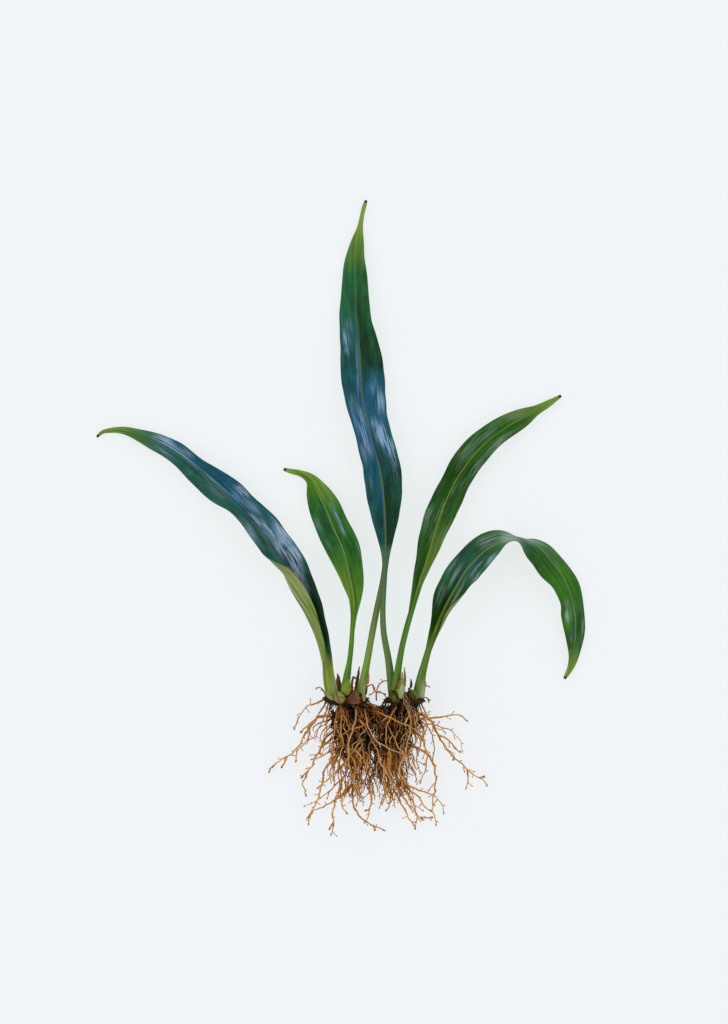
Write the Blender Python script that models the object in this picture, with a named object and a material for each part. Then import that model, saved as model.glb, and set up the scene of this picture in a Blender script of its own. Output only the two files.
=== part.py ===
"""Blue oil fern with bare roots, laid down on a surface.

Six strap fronds rise from two creeping rhizomes, and a tangle of wiry roots
hangs from each rhizome. The plant lies on its back on the plane z = 0 and is
looked at from above: the fronds point to +Y, the roots to -Y.

Lengths in the tables are millimetres. x and y are measured from the fork
between the two rhizomes, and z from the surface that the plant lies on.
Lifts are degrees that one half of a blade rises above the surface plane.
"""
import math

import bmesh
import bpy
import numpy as np
from mathutils import Vector
from mathutils.bvhtree import BVHTree

MM = 0.001
# The part's origin lies under the middle of the left root mass.
ORIGIN_X = -11.4
# Pieces that touch on the real plant keep this gap.
GAP = 0.35

# Sections along a frond, and flat steps across each half of its blade.
FROND_STATIONS = 24
HALF_STEPS = 3
# Half of the blade's thickness, inside the blade and at its margin, and the most
# that it may be as a share of the blade's reach, for the narrow ends.
BLADE_HALF = 0.32
MARGIN_HALF = 0.22
THIN_SHARE = 0.28
# A half blade joins the round midrib over this angle above and below its own direction,
# starts at this share of the midrib's radius, and stands out from a stalk by a narrow wing.
JOINT_ANGLE = math.radians(37)
JOIN_SHARE = 0.8
NARROW_WING = 0.15

# A main root's radius where it leaves the mass and at its tip.
ROOT_RADIUS = 0.62
ROOT_TIP_RADIUS = 0.42
ROOT_SIDES = 5
ROOT_STEP = 3.0
FINE_STEP = 0.2

# Stalk and midrib radius along a frond, from its base to its tip.
STALK_SLIM = [(0.0, 1.9), (0.06, 1.3), (0.2, 1.05), (0.35, 0.95), (0.6, 0.8), (0.9, 0.45), (1.0, 0.25)]
STALK_MIDDLE = [(0.0, 1.7), (0.05, 1.4), (0.2, 1.2), (0.35, 1.1), (0.6, 0.85), (0.9, 0.5), (1.0, 0.3)]
STALK_FLARED = [(0.0, 2.3), (0.06, 1.8), (0.14, 1.35), (0.35, 1.2), (0.6, 0.9), (0.9, 0.5), (1.0, 0.3)]
STALK_STOUT = [(0.0, 2.4), (0.05, 1.8), (0.12, 1.4), (0.2, 1.3), (0.35, 1.1), (0.6, 0.85), (0.9, 0.5),
               (1.0, 0.3)]

FRONDS = {
    "frond_left": {
        "midrib": [
            (-20.4, 23.7, 13.0), (-21.8, 30.0, 13.2), (-23.6, 39.0, 12.8), (-26.0, 48.0, 11.8),
            (-30.6, 58.5, 10.4), (-36.8, 68.5, 9.0), (-42.4, 79.0, 7.4), (-48.0, 88.0, 6.0),
            (-56.3, 99.0, 4.0), (-69.5, 111.8, 2.2), (-87.0, 126.6, 1.5), (-104.5, 135.5, 1.3),
            (-117.5, 138.4, 2.4), (-121.4, 137.7, 2.8), (-123.3, 136.0, 3.0),
        ],
        "stalk": STALK_STOUT,
        "half_width": [
            (0.0, 2.5), (0.05, 2.6), (0.11, 4.4), (0.19, 6.4), (0.27, 8.6), (0.35, 9.8), (0.43, 10.0),
            (0.56, 9.4), (0.65, 8.2), (0.77, 6.4), (0.85, 4.7), (0.91, 2.9), (0.96, 1.4), (1.0, 0.4),
        ],
        "left_lift": [
            (0.0, 0, 0), (0.05, 60, 80), (0.1, 78, 130), (0.16, 66, 162), (0.23, 58, 176),
            (0.3, 52, 176), (0.345, 42, 152), (0.385, 46, 90), (0.42, 57, 70), (0.46, 64, 62),
            (0.52, 68, 66), (0.57, 64, 62), (0.61, 52, 48), (0.65, 44, 38), (0.7, 42, 38),
            (0.73, 46, 42), (0.77, 54, 50), (0.85, 50, 46), (0.92, 64, 60), (1.0, 0, 0),
        ],
        "right_lift": [
            (0.0, 0, 0), (0.08, 52, 40), (0.16, 42, 34), (0.24, 26, 18), (0.29, 12, 4),
            (0.35, 14, 6), (0.42, 24, 14), (0.46, 22, 12), (0.54, 38, 28), (0.6, 26, 16),
            (0.65, 36, 26), (0.71, 52, 44), (0.78, 36, 26), (0.9, 36, 28), (1.0, 0, 0),
        ],
    },
    "frond_left_small": {
        "midrib": [
            (-14.1, 24.0, 13.8), (-13.2, 30.5, 13.6), (-12.2, 37.5, 13.0), (-11.2, 52.8, 11.0),
            (-10.9, 63.8, 9.2), (-12.3, 72.6, 7.6), (-15.4, 85.8, 5.6), (-19.4, 95.0, 4.2),
            (-23.3, 104.3, 2.8), (-26.6, 110.6, 2.0), (-30.2, 116.4, 1.6), (-34.3, 119.2, 1.7),
            (-38.7, 120.5, 2.2), (-41.6, 121.4, 2.6),
        ],
        "stalk": STALK_SLIM,
        "half_width": [
            (0.0, 2.0), (0.06, 1.5), (0.25, 1.2), (0.31, 2.0), (0.35, 3.3), (0.42, 6.0), (0.5, 7.3),
            (0.6, 7.8), (0.7, 7.5), (0.77, 7.0), (0.84, 5.6), (0.885, 4.2), (0.93, 2.5), (0.97, 1.3),
            (1.0, 0.4),
        ],
        "left_lift": [
            (0.0, 0, 0), (0.25, 50, 40), (0.35, 62, 56), (0.42, 60, 52), (0.5, 46, 34), (0.58, 30, 16),
            (0.66, 22, 6), (0.75, 20, 4), (0.81, 32, 20), (0.85, 50, 42), (0.89, 70, 66), (0.93, 66, 62),
            (1.0, 0, 0),
        ],
        "right_lift": [
            (0.0, 0, 0), (0.25, 30, 25), (0.42, 28, 18), (0.5, 28, 18), (0.6, 20, 8), (0.7, 30, 18),
            (0.8, 28, 16), (0.89, 42, 34), (0.95, 34, 28), (1.0, 0, 0),
        ],
    },
    "frond_behind_tall": {
        "midrib": [
            (-7.2, 24.0, 13.0), (-6.2, 29.5, 13.2), (-4.7, 37.4, 12.2), (-2.3, 50.6, 9.8),
            (0.3, 63.8, 7.6), (2.4, 74.8, 6.0), (3.4, 88.0, 4.6), (3.1, 99.0, 3.4), (2.2, 110.0, 2.6),
            (0.8, 121.0, 2.0), (-1.3, 130.0, 1.5), (-2.9, 137.5, 1.4),
        ],
        "stalk": STALK_FLARED,
        "half_width": [
            (0.0, 2.4), (0.06, 2.1), (0.3, 1.5), (0.52, 1.5), (0.6, 2.6), (0.66, 4.2), (0.74, 5.4),
            (0.82, 5.4), (0.9, 4.1), (0.96, 2.2), (1.0, 0.6),
        ],
        "left_lift": [(0.0, 0, 0), (0.5, 30, 20), (0.7, 22, 12), (1.0, 0, 0)],
        "right_lift": [(0.0, 0, 0), (0.5, 30, 20), (0.7, 22, 12), (1.0, 0, 0)],
    },
    "frond_tall": {
        "midrib": [
            (6.2, 24.2, 11.0), (4.6, 37.4, 11.6), (2.4, 50.6, 12.2), (2.1, 57.2, 12.4),
            (2.6, 70.4, 12.4), (3.3, 81.4, 11.8), (3.3, 94.6, 10.8), (2.6, 107.8, 9.6),
            (0.9, 121.0, 8.0), (-3.0, 134.2, 6.2), (-6.2, 147.4, 4.6), (-7.4, 160.0, 3.4),
            (-8.2, 176.0, 2.2), (-9.4, 188.5, 1.6), (-9.9, 202.0, 1.3), (-9.4, 216.0, 1.3),
            (-7.9, 227.5, 1.8), (-6.5, 235.0, 2.5), (-5.5, 239.0, 3.0),
        ],
        "stalk": STALK_MIDDLE,
        "half_width": [
            (0.0, 1.9), (0.05, 1.6), (0.24, 1.4), (0.275, 2.3), (0.31, 4.3), (0.35, 6.7), (0.39, 8.3),
            (0.46, 9.4), (0.54, 9.8), (0.63, 10.4), (0.69, 9.6), (0.75, 8.5), (0.81, 7.0),
            (0.88, 5.4), (0.92, 3.6), (0.96, 1.6), (1.0, 0.4),
        ],
        "left_lift": [
            (0.0, 0, 0), (0.25, 40, 30), (0.34, 36, 24), (0.4, 40, 28), (0.47, 50, 38), (0.53, 56, 46),
            (0.58, 50, 38), (0.65, 38, 26), (0.72, 32, 18), (0.77, 26, 12), (0.85, 22, 10), (1.0, 0, 0),
        ],
        "right_lift": [
            (0.0, 0, 0), (0.25, 40, 30), (0.34, 36, 24), (0.42, 28, 14), (0.52, 22, 8), (0.6, 18, 4),
            (0.66, 22, 10), (0.72, 40, 28), (0.77, 46, 36), (0.82, 38, 28), (0.89, 52, 44), (1.0, 0, 0),
        ],
    },
    "frond_right_upper": {
        "midrib": [
            (7.6, 24.2, 15.3), (9.3, 36.3, 15.2), (11.1, 45.3, 14.6), (13.4, 54.3, 13.4),
            (16.1, 63.4, 12.0), (18.9, 72.6, 10.2), (21.7, 81.4, 8.4), (24.8, 92.4, 6.4),
            (28.2, 103.0, 4.8), (32.1, 112.2, 3.5), (37.2, 121.0, 2.5), (42.8, 128.0, 1.9),
            (49.3, 134.4, 1.6), (58.0, 140.5, 1.4), (67.2, 145.6, 1.6), (75.7, 150.8, 2.4),
            (79.9, 153.1, 3.0),
        ],
        "stalk": STALK_MIDDLE,
        "half_width": [
            (0.0, 1.9), (0.05, 1.6), (0.22, 1.4), (0.27, 2.6), (0.35, 5.1), (0.42, 6.9), (0.5, 7.6),
            (0.6, 7.7), (0.69, 7.7), (0.77, 7.0), (0.84, 6.0), (0.89, 5.0), (0.93, 3.5), (0.965, 1.7),
            (1.0, 0.5),
        ],
        "left_lift": [
            (0.0, 0, 0), (0.27, 30, 18), (0.4, 32, 20), (0.49, 26, 12), (0.6, 34, 22), (0.7, 24, 8),
            (0.77, 30, 20), (0.9, 24, 12), (1.0, 0, 0),
        ],
        "right_lift": [
            (0.0, 0, 0), (0.24, 60, 56), (0.31, 72, 66), (0.38, 64, 54), (0.46, 50, 42), (0.55, 34, 24),
            (0.64, 42, 34), (0.73, 46, 38), (0.8, 54, 48), (0.9, 62, 58), (1.0, 0, 0),
        ],
    },
    "frond_right_arching": {
        "midrib": [
            (18.1, 23.6, 13.0), (19.0, 29.5, 13.2), (21.4, 39.2, 13.0), (24.7, 49.7, 12.4),
            (28.5, 60.3, 11.8), (33.2, 69.1, 11.2), (39.4, 78.0, 10.8), (44.5, 83.0, 10.7),
            (49.3, 86.8, 10.7), (53.9, 89.4, 10.7), (58.4, 90.8, 10.6), (62.4, 90.9, 10.4),
            (67.0, 89.2, 10.1), (71.3, 86.2, 9.6), (75.8, 81.4, 8.8), (80.2, 75.7, 7.8),
            (83.4, 69.4, 6.9), (86.0, 61.5, 6.3), (87.0, 51.9, 5.4), (86.0, 41.6, 3.8),
            (84.2, 34.4, 2.5), (81.8, 29.2, 1.5),
        ],
        "stalk": STALK_STOUT,
        "half_width": [
            (0.0, 2.3), (0.06, 1.8), (0.12, 2.0), (0.17, 4.0), (0.2, 6.0), (0.235, 8.0), (0.27, 8.8),
            (0.31, 9.2), (0.37, 9.3), (0.5, 9.1), (0.6, 8.8), (0.68, 7.8), (0.77, 6.6), (0.85, 5.6),
            (0.89, 4.7), (0.93, 3.4), (0.965, 2.1), (1.0, 0.5),
        ],
        "left_lift": [
            (0.0, 0, 0), (0.14, 50, 44), (0.2, 58, 54), (0.235, 52, 46), (0.27, 42, 36),
            (0.3, 44, 26), (0.35, 42, -48), (0.385, 34, -64), (0.43, 16, -54), (0.465, -20, -44),
            (0.5, -56, -62), (0.53, -80, -84), (0.575, -76, -80), (0.62, -60, -64),
            (0.67, -50, -56), (0.74, -34, -42), (0.81, -42, -50), (0.88, -32, -38), (0.93, -16, -20),
            (1.0, 0, 0),
        ],
        "right_lift": [
            (0.0, 0, 0), (0.08, 40, 70), (0.13, 32, 95), (0.17, 30, 115), (0.2, 28, 135),
            (0.235, 25, 150), (0.27, 20, 140), (0.3, 14, 125), (0.33, 36, 82), (0.36, 44, 44),
            (0.385, 46, 42), (0.43, 54, 50), (0.47, 66, 64), (0.505, 82, 84), (0.53, 86, 92),
            (0.55, 80, 80), (0.575, 60, 54), (0.62, 38, 26), (0.66, 24, 8), (0.73, 42, 30), (0.78, 38, 26),
            (0.82, 16, 4), (0.88, 36, 28), (0.93, 54, 50), (1.0, 0, 0),
        ],
    },
}

# Each rhizome creeps along x: (x, y, z, radius).
RHIZOMES = {
    "rhizome_left": [
        (-24.6, 20.6, 12.0, 0.9), (-23.4, 20.4, 12.3, 2.3), (-20.0, 20.2, 12.8, 2.9),
        (-14.5, 20.2, 13.2, 3.0), (-9.0, 20.2, 13.2, 2.8), (-5.6, 20.0, 13.0, 2.2), (-4.4, 19.8, 13.0, 0.9),
    ],
    "rhizome_right": [
        (2.6, 19.8, 13.0, 0.9), (3.8, 20.0, 13.2, 2.3), (7.5, 20.2, 13.2, 3.1),
        (12.5, 20.2, 13.0, 3.0), (17.0, 20.0, 12.8, 2.9), (19.8, 19.8, 12.4, 2.0), (20.8, 19.6, 12.2, 0.8),
    ],
}
# A rhizome is deeper than it is wide.
RHIZOME_DEPTH = 1.45
RHIZOME_SIDES = 12

# Where the tangle of fine roots lies: (y, x at its left, x at its right, height of its top).
ROOT_MASSES = {
    "root_mass_left": [
        (16.6, -21.5, -4.5, 19.0), (15.2, -23.0, -2.2, 21.5), (10.0, -22.6, -0.6, 23.6),
        (3.0, -21.4, -0.5, 24.4), (-4.0, -20.2, -0.5, 24.0), (-10.0, -18.8, -0.6, 23.0),
        (-16.0, -17.6, -0.9, 21.0), (-20.0, -16.2, -2.0, 18.0), (-22.2, -13.5, -5.0, 14.5),
    ],
    "root_mass_right": [
        (16.6, 3.6, 18.0, 18.5), (15.2, 1.6, 20.4, 21.0), (10.0, 0.4, 20.6, 23.0),
        (4.0, 0.3, 16.6, 23.8), (-3.0, 0.3, 13.4, 23.4), (-9.0, 0.3, 12.4, 22.4),
        (-15.0, 0.5, 13.8, 20.4), (-20.0, 1.6, 13.0, 17.6), (-23.0, 4.4, 10.6, 13.0),
    ],
}
MASS_SIDES = 28
# Share of the mass's height at which it is widest.
MASS_WAIST = 0.42
# The outermost strands of the tangle stand out as ridges of this share of its width.
RIDGE_DEPTH = 0.08
RIDGE_COUNT = 9

# Main roots, from the mass to their tips: (x, y, z).
ROOTS = {
    "root_left_1": [(-23.0, 20.2, 13.0), (-25.0, 19.5, 14.0), (-28.5, 18.0, 13.0), (-31.5, 17.0, 11.0),
                    (-33.5, 14.0, 9.0), (-35.5, 11.5, 8.0)],
    "root_left_2": [(-20.0, 14.0, 15.0), (-27.5, 11.5, 14.0), (-31.5, 6.0, 11.0), (-34.5, 0.0, 8.0),
                    (-36.5, -2.5, 6.5), (-41.5, -6.0, 4.5), (-46.0, -9.0, 2.5), (-48.5, -12.5, 1.2)],
    "root_left_3": [(-19.5, 12.5, 9.0), (-27.0, 12.0, 8.0), (-29.5, 9.0, 7.0), (-31.0, 2.0, 5.0),
                    (-34.5, -1.5, 3.0), (-36.0, -5.0, 2.0), (-36.5, -8.0, 1.2)],
    "root_left_4": [(-18.0, 5.0, 8.0), (-25.0, -1.5, 7.0), (-27.5, -5.5, 6.0), (-29.0, -9.0, 5.0),
                    (-32.0, -14.0, 3.0), (-33.0, -17.5, 2.0), (-32.5, -20.0, 1.5), (-31.5, -23.0, 1.2)],
    "root_left_5": [(-16.0, 0.0, 16.0), (-25.5, -5.0, 15.0), (-29.5, -6.5, 14.0)],
    "root_left_6": [(-17.5, -3.0, 13.0), (-24.0, -12.5, 13.0), (-24.5, -16.5, 12.0), (-26.0, -22.0, 11.0),
                    (-28.0, -27.5, 9.0), (-30.0, -31.5, 8.0), (-30.5, -35.5, 7.0)],
    "root_left_7": [(-14.0, -7.0, 17.0), (-21.0, -14.0, 18.0), (-24.0, -16.5, 17.0), (-27.0, -19.0, 16.0)],
    "root_below_1": [(-11.5, -17.0, 8.0), (-16.0, -22.5, 7.0), (-19.5, -24.5, 5.5), (-22.5, -26.5, 4.5),
                     (-26.0, -28.0, 3.0), (-29.0, -29.5, 2.0), (-31.0, -32.0, 1.2)],
    "root_below_2": [(-14.0, -13.0, 4.0), (-21.5, -20.5, 3.0), (-24.5, -23.0, 2.0), (-28.5, -25.5, 1.4),
                     (-33.0, -27.5, 1.2)],
    "root_below_3": [(-15.5, -14.0, 12.0), (-19.0, -25.5, 11.5), (-20.0, -29.5, 11.0), (-19.5, -33.5, 10.0),
                     (-20.0, -37.0, 9.0), (-20.5, -40.0, 8.0)],
    "root_below_4": [(-13.0, -16.0, 14.0), (-16.0, -26.0, 15.0), (-14.5, -28.5, 14.0), (-13.5, -30.5, 13.5)],
    "root_below_5": [(-11.0, -17.0, 5.0), (-11.0, -25.5, 4.5), (-9.5, -29.5, 4.0), (-6.5, -33.0, 3.0),
                     (-2.5, -35.5, 2.0), (1.0, -37.0, 1.5), (3.5, -38.0, 1.2)],
    "root_below_6": [(-4.5, -15.0, 12.0), (-3.0, -24.0, 11.0), (-3.5, -28.0, 10.0), (-4.5, -31.5, 9.0),
                     (-6.0, -34.5, 8.0)],
    "root_below_7": [(-9.0, -17.5, 12.0), (-9.0, -23.5, 14.0), (-9.5, -27.0, 13.0)],
    "root_below_8": [(5.0, -18.5, 6.0), (5.5, -24.5, 4.0), (4.5, -27.5, 3.0), (3.5, -29.5, 2.0)],
    "root_below_9": [(6.5, -19.0, 10.0), (11.0, -27.0, 11.0), (13.0, -31.0, 9.0), (16.0, -36.0, 6.5)],
    "root_right_1": [(9.5, -17.0, 6.0), (15.8, -26.0, 4.5), (17.0, -31.5, 3.0), (16.5, -37.5, 1.2)],
    "root_right_2": [(8.5, -17.5, 13.0), (14.0, -27.0, 15.5), (17.0, -30.5, 15.0), (20.0, -33.0, 14.0)],
    "root_right_3": [(9.0, -16.0, 8.5), (19.0, -24.5, 8.0), (20.5, -27.0, 7.0), (23.5, -29.5, 6.0)],
    "root_right_4": [(8.0, -14.5, 11.0), (18.5, -20.0, 12.0), (22.0, -21.0, 11.0), (25.5, -23.0, 10.0),
                     (27.5, -25.0, 9.0), (29.0, -30.5, 8.0)],
    "root_right_5": [(10.0, 1.0, 7.0), (19.5, -2.5, 6.0), (23.0, -5.5, 5.0), (24.5, -9.0, 4.0),
                     (25.5, -14.0, 3.0), (25.0, -20.0, 2.0), (24.0, -27.0, 1.5), (26.0, -36.0, 1.2)],
    "root_right_6": [(11.0, 6.0, 14.0), (18.5, 4.5, 15.0), (20.5, 0.0, 14.5), (21.5, -5.5, 14.0),
                     (20.5, -11.5, 13.0), (18.2, -17.0, 13.5)],
    "root_right_7": [(16.5, 14.5, 12.0), (23.0, 11.0, 11.0), (25.5, 6.0, 9.0), (28.5, 1.0, 7.0),
                     (32.5, -4.5, 5.0), (37.5, -9.0, 3.0), (41.5, -13.0, 2.0), (45.5, -15.0, 1.5),
                     (48.5, -18.5, 1.2)],
    "root_right_8": [(39.4, -13.8, 1.6), (39.8, -17.0, 1.4), (38.5, -20.0, 1.2)],
    "root_right_9": [(15.0, 11.0, 16.0), (24.0, 12.2, 16.0), (28.5, 12.5, 15.0), (33.5, 13.5, 14.0),
                     (36.5, 13.0, 13.5), (39.5, 10.5, 13.0)],
    "root_right_10": [(15.0, 10.0, 6.0), (27.5, 8.0, 4.0), (33.0, 5.5, 3.0), (36.0, 2.0, 2.0),
                      (37.5, -3.5, 1.2)],
}
# Short roots that curl up from the rhizomes beside the fronds.
CURLED_ROOTS = {
    "root_curl_left": [(-22.8, 20.6, 12.0), (-26.4, 25.2, 12.4), (-28.2, 24.3, 12.4)],
    "root_curl_middle": [(-6.5, 20.4, 14.0), (-4.2, 23.4, 14.8), (-2.6, 26.0, 15.2), (-1.2, 24.5, 15.6),
                         (-0.7, 20.0, 15.6)],
    "root_curl_right": [(19.0, 18.6, 11.0), (21.4, 22.4, 9.8), (22.8, 25.2, 9.6), (24.0, 24.2, 9.4)],
}

# Young buds on the rhizomes: (x, y, z, radius) from base to tip.
BUDS = {
    "bud_left": [(-19.4, 19.6, 18.9, 0.5), (-20.6, 20.6, 19.3, 1.3), (-22.2, 22.2, 19.1, 1.2),
                 (-23.4, 23.2, 18.6, 0.3)],
    "bud_round": [(-16.2, 18.8, 19.4, 0.9), (-16.6, 20.2, 20.1, 1.9), (-17.0, 21.8, 20.1, 1.8),
                  (-17.2, 23.6, 19.6, 0.4)],
    "bud_front": [(-13.6, 22.8, 18.9, 0.8), (-14.0, 24.6, 18.9, 1.7), (-13.4, 27.0, 18.6, 1.3),
                  (-12.6, 29.3, 18.0, 0.3)],
    "bud_hairy": [(-17.2, 24.6, 9.4, 1.0), (-17.4, 27.2, 9.6, 1.25), (-17.6, 29.4, 9.8, 0.85),
                  (-17.8, 31.4, 10.0, 0.3)],
    "bud_small_tip": [(-6.2, 19.6, 18.2, 0.5), (-6.2, 21.4, 18.6, 0.9), (-6.4, 23.2, 18.2, 0.3)],
    "bud_pale": [(9.8, 22.0, 18.8, 1.0), (10.2, 25.2, 18.9, 1.8), (10.6, 28.8, 18.5, 1.1),
                 (10.6, 32.4, 18.0, 0.3)],
    "bud_mossy": [(8.6, 19.6, 19.0, 0.6), (7.0, 21.0, 19.4, 1.4), (5.6, 22.6, 19.0, 1.2),
                  (4.6, 23.8, 18.4, 0.3)],
    "bud_right": [(17.0, 20.6, 18.4, 0.5), (15.8, 21.8, 18.8, 1.3), (14.4, 23.6, 18.6, 1.1),
                  (13.4, 25.4, 18.0, 0.3)],
}
BUD_SIDES = 8

# Dry scales: (x, y, z, half breadth) from base to tip.
SCALES = {
    "scale_hook": [(-11.2, 24.4, 12.0, 0.7), (-11.4, 27.6, 11.6, 0.6), (-10.6, 30.0, 11.4, 0.5),
                   (-9.6, 29.0, 11.0, 0.3)],
    "scale_tall": [(-9.6, 24.4, 9.6, 1.0), (-9.2, 28.0, 9.2, 1.1), (-8.6, 31.6, 9.0, 0.8),
                   (-8.2, 34.6, 9.0, 0.2)],
    "scale_red": [(-4.6, 27.0, 15.6, 0.8), (-4.2, 29.8, 15.8, 0.7), (-4.2, 32.6, 15.4, 0.2)],
    "scale_dark": [(8.0, 24.6, 20.6, 0.7), (8.8, 27.4, 21.1, 0.8), (9.9, 30.2, 21.0, 0.2)],
    "scale_dry": [(12.2, 25.6, 15.2, 0.6), (12.4, 30.0, 15.4, 0.6), (11.6, 34.4, 15.2, 0.2)],
    "scale_stub": [(14.4, 25.2, 13.0, 0.6), (14.6, 27.2, 13.2, 0.6), (14.4, 29.2, 13.2, 0.2)],
}
# The papery bract is wide and stands between two buds.
BRACT = {
    "bract_papery": [(-12.0, 17.8, 19.0, 1.6), (-11.2, 19.2, 19.7, 3.2), (-10.4, 21.2, 20.0, 2.2),
                     (-10.0, 23.8, 19.6, 0.4)],
}
SCALE_SIDES = 6
# A scale's thickness as a share of its breadth.
SCALE_FLATNESS = 0.4
BRACT_FLATNESS = 0.22

# Colour, roughness of each finish.
FINISHES = {
    "frond blue green": ((0.016, 0.10, 0.13), 0.32),
    "frond green": ((0.045, 0.16, 0.03), 0.35),
    "rhizome brown": ((0.10, 0.055, 0.028), 0.8),
    "root brown": ((0.33, 0.155, 0.06), 0.65),
    "root mass brown": ((0.15, 0.07, 0.03), 0.85),
    "bud green": ((0.22, 0.30, 0.09), 0.45),
    "dry scale": ((0.17, 0.06, 0.03), 0.75),
}
FROND_FINISH = {
    "frond_left": "frond blue green",
    "frond_tall": "frond blue green",
}


def make_material(name, finish):
    """A Principled material with the finish's colour and roughness."""
    colour, roughness = FINISHES[finish]
    material = bpy.data.materials.new(name)
    material.use_nodes = True
    shader = material.node_tree.nodes["Principled BSDF"]
    shader.inputs["Base Color"].default_value = (*colour, 1.0)
    shader.inputs["Roughness"].default_value = roughness
    shader.inputs["Metallic"].default_value = 0.0
    return material


def smooth_curve(knots, values, at):
    """Cubic curve through values at knots; each slope is the mean slope of the two sides."""
    knots = np.asarray(knots, dtype=float)
    values = np.asarray(values, dtype=float)
    slopes = np.gradient(values, knots, axis=0)
    index = np.clip(np.searchsorted(knots, at, side="right") - 1, 0, len(knots) - 2)
    span = knots[index + 1] - knots[index]
    t = (at - knots[index]) / span
    if values.ndim == 2:
        span = span[:, None]
        t = t[:, None]
    start = (2 * t**3 - 3 * t**2 + 1) * values[index] + (t**3 - 2 * t**2 + t) * span * slopes[index]
    end = (3 * t**2 - 2 * t**3) * values[index + 1] + (t**3 - t**2) * span * slopes[index + 1]
    return start + end


def even_path(points, shares):
    """Points at shares (0 to 1) of the length of the smooth curve through the given points."""
    points = np.asarray(points, dtype=float)
    chords = np.linalg.norm(np.diff(points[:, :3], axis=0), axis=1)
    knots = np.concatenate(([0.0], np.cumsum(chords)))
    fine = np.linspace(0.0, knots[-1], 400)
    curve = smooth_curve(knots, points, fine)
    lengths = np.linalg.norm(np.diff(curve[:, :3], axis=0), axis=1)
    travelled = np.concatenate(([0.0], np.cumsum(lengths)))
    wanted = np.asarray(shares) * travelled[-1]
    return smooth_curve(knots, points, np.interp(wanted, travelled, fine))


def path_frame(centre):
    """Unit directions left and up at each point of a path, level with the surface."""
    along = np.gradient(centre, axis=0)
    along /= np.linalg.norm(along, axis=1)[:, None]
    up = np.array([0.0, 0.0, 1.0]) - along[:, 2:3] * along
    up /= np.linalg.norm(up, axis=1)[:, None]
    return np.cross(up, along), up


def half_blade(lift_inner, lift_margin, stalk, reach, upper_joint):
    """Upper and lower points (outward, up) of one half of a blade, from the midrib to the margin.

    The half is a bent strip: its lift changes evenly from the midrib to the margin. Its
    first two points lie on the round midrib, above and below the half's own direction.
    """
    share = np.linspace(0.0, 1.0, HALF_STEPS + 1)
    middle = (share[1:] + share[:-1]) / 2
    turn = (lift_margin - lift_inner)[:, None]
    lift = lift_inner[:, None] + turn * middle
    step = (reach / HALF_STEPS)[:, None]
    outward = np.cumsum(np.cos(lift) * step, axis=1)
    rise = np.cumsum(np.sin(lift) * step, axis=1)
    line = np.zeros((len(reach), HALF_STEPS + 1, 2))
    line[:, 1:, 0] = outward
    line[:, 1:, 1] = rise
    start = JOIN_SHARE * stalk
    line[:, :, 0] += (start * np.cos(lift_inner))[:, None]
    line[:, :, 1] += (start * np.sin(lift_inner))[:, None]
    facing = lift_inner[:, None] + turn * share
    half = np.full(facing.shape, BLADE_HALF)
    half[:, -1] = MARGIN_HALF
    half = np.minimum(half, THIN_SHARE * reach[:, None])
    normal = np.stack((-np.sin(facing), np.cos(facing)), axis=2) * half[:, :, None]
    top = line + normal
    under = line - normal
    for side, angle in ((top, lift_inner + upper_joint), (under, lift_inner - JOINT_ANGLE)):
        side[:, 0, 0] = stalk * np.cos(angle)
        side[:, 0, 1] = stalk * np.sin(angle)
    return top, under


def frond_rings(spec):
    """Closed sections along a frond: a round stalk or midrib between two bent half blades."""
    shares = np.linspace(0.0, 1.0, FROND_STATIONS)
    centre = even_path(spec["midrib"], shares)
    left, up = path_frame(centre)
    stalk_table = np.array(spec["stalk"])
    stalk = smooth_curve(stalk_table[:, 0], stalk_table[:, 1], shares)
    width_table = np.array(spec["half_width"])
    width = smooth_curve(width_table[:, 0], width_table[:, 1], shares)
    left_table, right_table = np.array(spec["left_lift"]), np.array(spec["right_lift"])
    left_lift = np.radians(smooth_curve(left_table[:, 0], left_table[:, 1:], shares))
    right_lift = np.radians(smooth_curve(right_table[:, 0], right_table[:, 1:], shares))
    reach = np.maximum(width - JOIN_SHARE * stalk, (1 - JOIN_SHARE) * stalk + NARROW_WING)
    between = math.pi - left_lift[:, 0] - right_lift[:, 0]
    upper_joint = np.minimum(JOINT_ANGLE, 0.4 * between)
    left_top, left_under = half_blade(left_lift[:, 0], left_lift[:, 1], stalk, reach, upper_joint)
    right_top, right_under = half_blade(right_lift[:, 0], right_lift[:, 1], stalk, reach, upper_joint)
    left_top[:, :, 0] *= -1
    left_under[:, :, 0] *= -1
    crown_turn = math.pi / 2 + (right_lift[:, 0] - left_lift[:, 0]) / 2
    crown = (np.stack((np.cos(crown_turn), np.sin(crown_turn)), axis=1) * stalk[:, None])[:, None, :]
    ring = np.concatenate(
        (left_top[:, ::-1], crown, right_top, right_under[:, ::-1], -crown, left_under), axis=1)
    across = -left[:, None, :] * ring[:, :, 0:1]
    return centre[:, None, :] + across + up[:, None, :] * ring[:, :, 1:2]


def tube_rings(points, count, sides, flatness=1.0, axis_up=(0.0, 0.0, 1.0)):
    """Round or flattened sections along a path whose points carry a radius."""
    path = even_path(points, np.linspace(0.0, 1.0, count))
    centre, radius = path[:, :3], path[:, 3]
    along = np.gradient(centre, axis=0)
    along /= np.linalg.norm(along, axis=1)[:, None]
    guide = np.array(axis_up)
    up = guide - (along @ guide)[:, None] * along
    up /= np.linalg.norm(up, axis=1)[:, None]
    left = np.cross(up, along)
    angle = np.arange(sides) * (2 * math.pi / sides)
    outward = np.cos(angle)[None, :, None] * left[:, None, :]
    upward = np.sin(angle)[None, :, None] * up[:, None, :] * flatness
    return centre[:, None, :] + (outward + upward) * radius[:, None, None]


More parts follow.
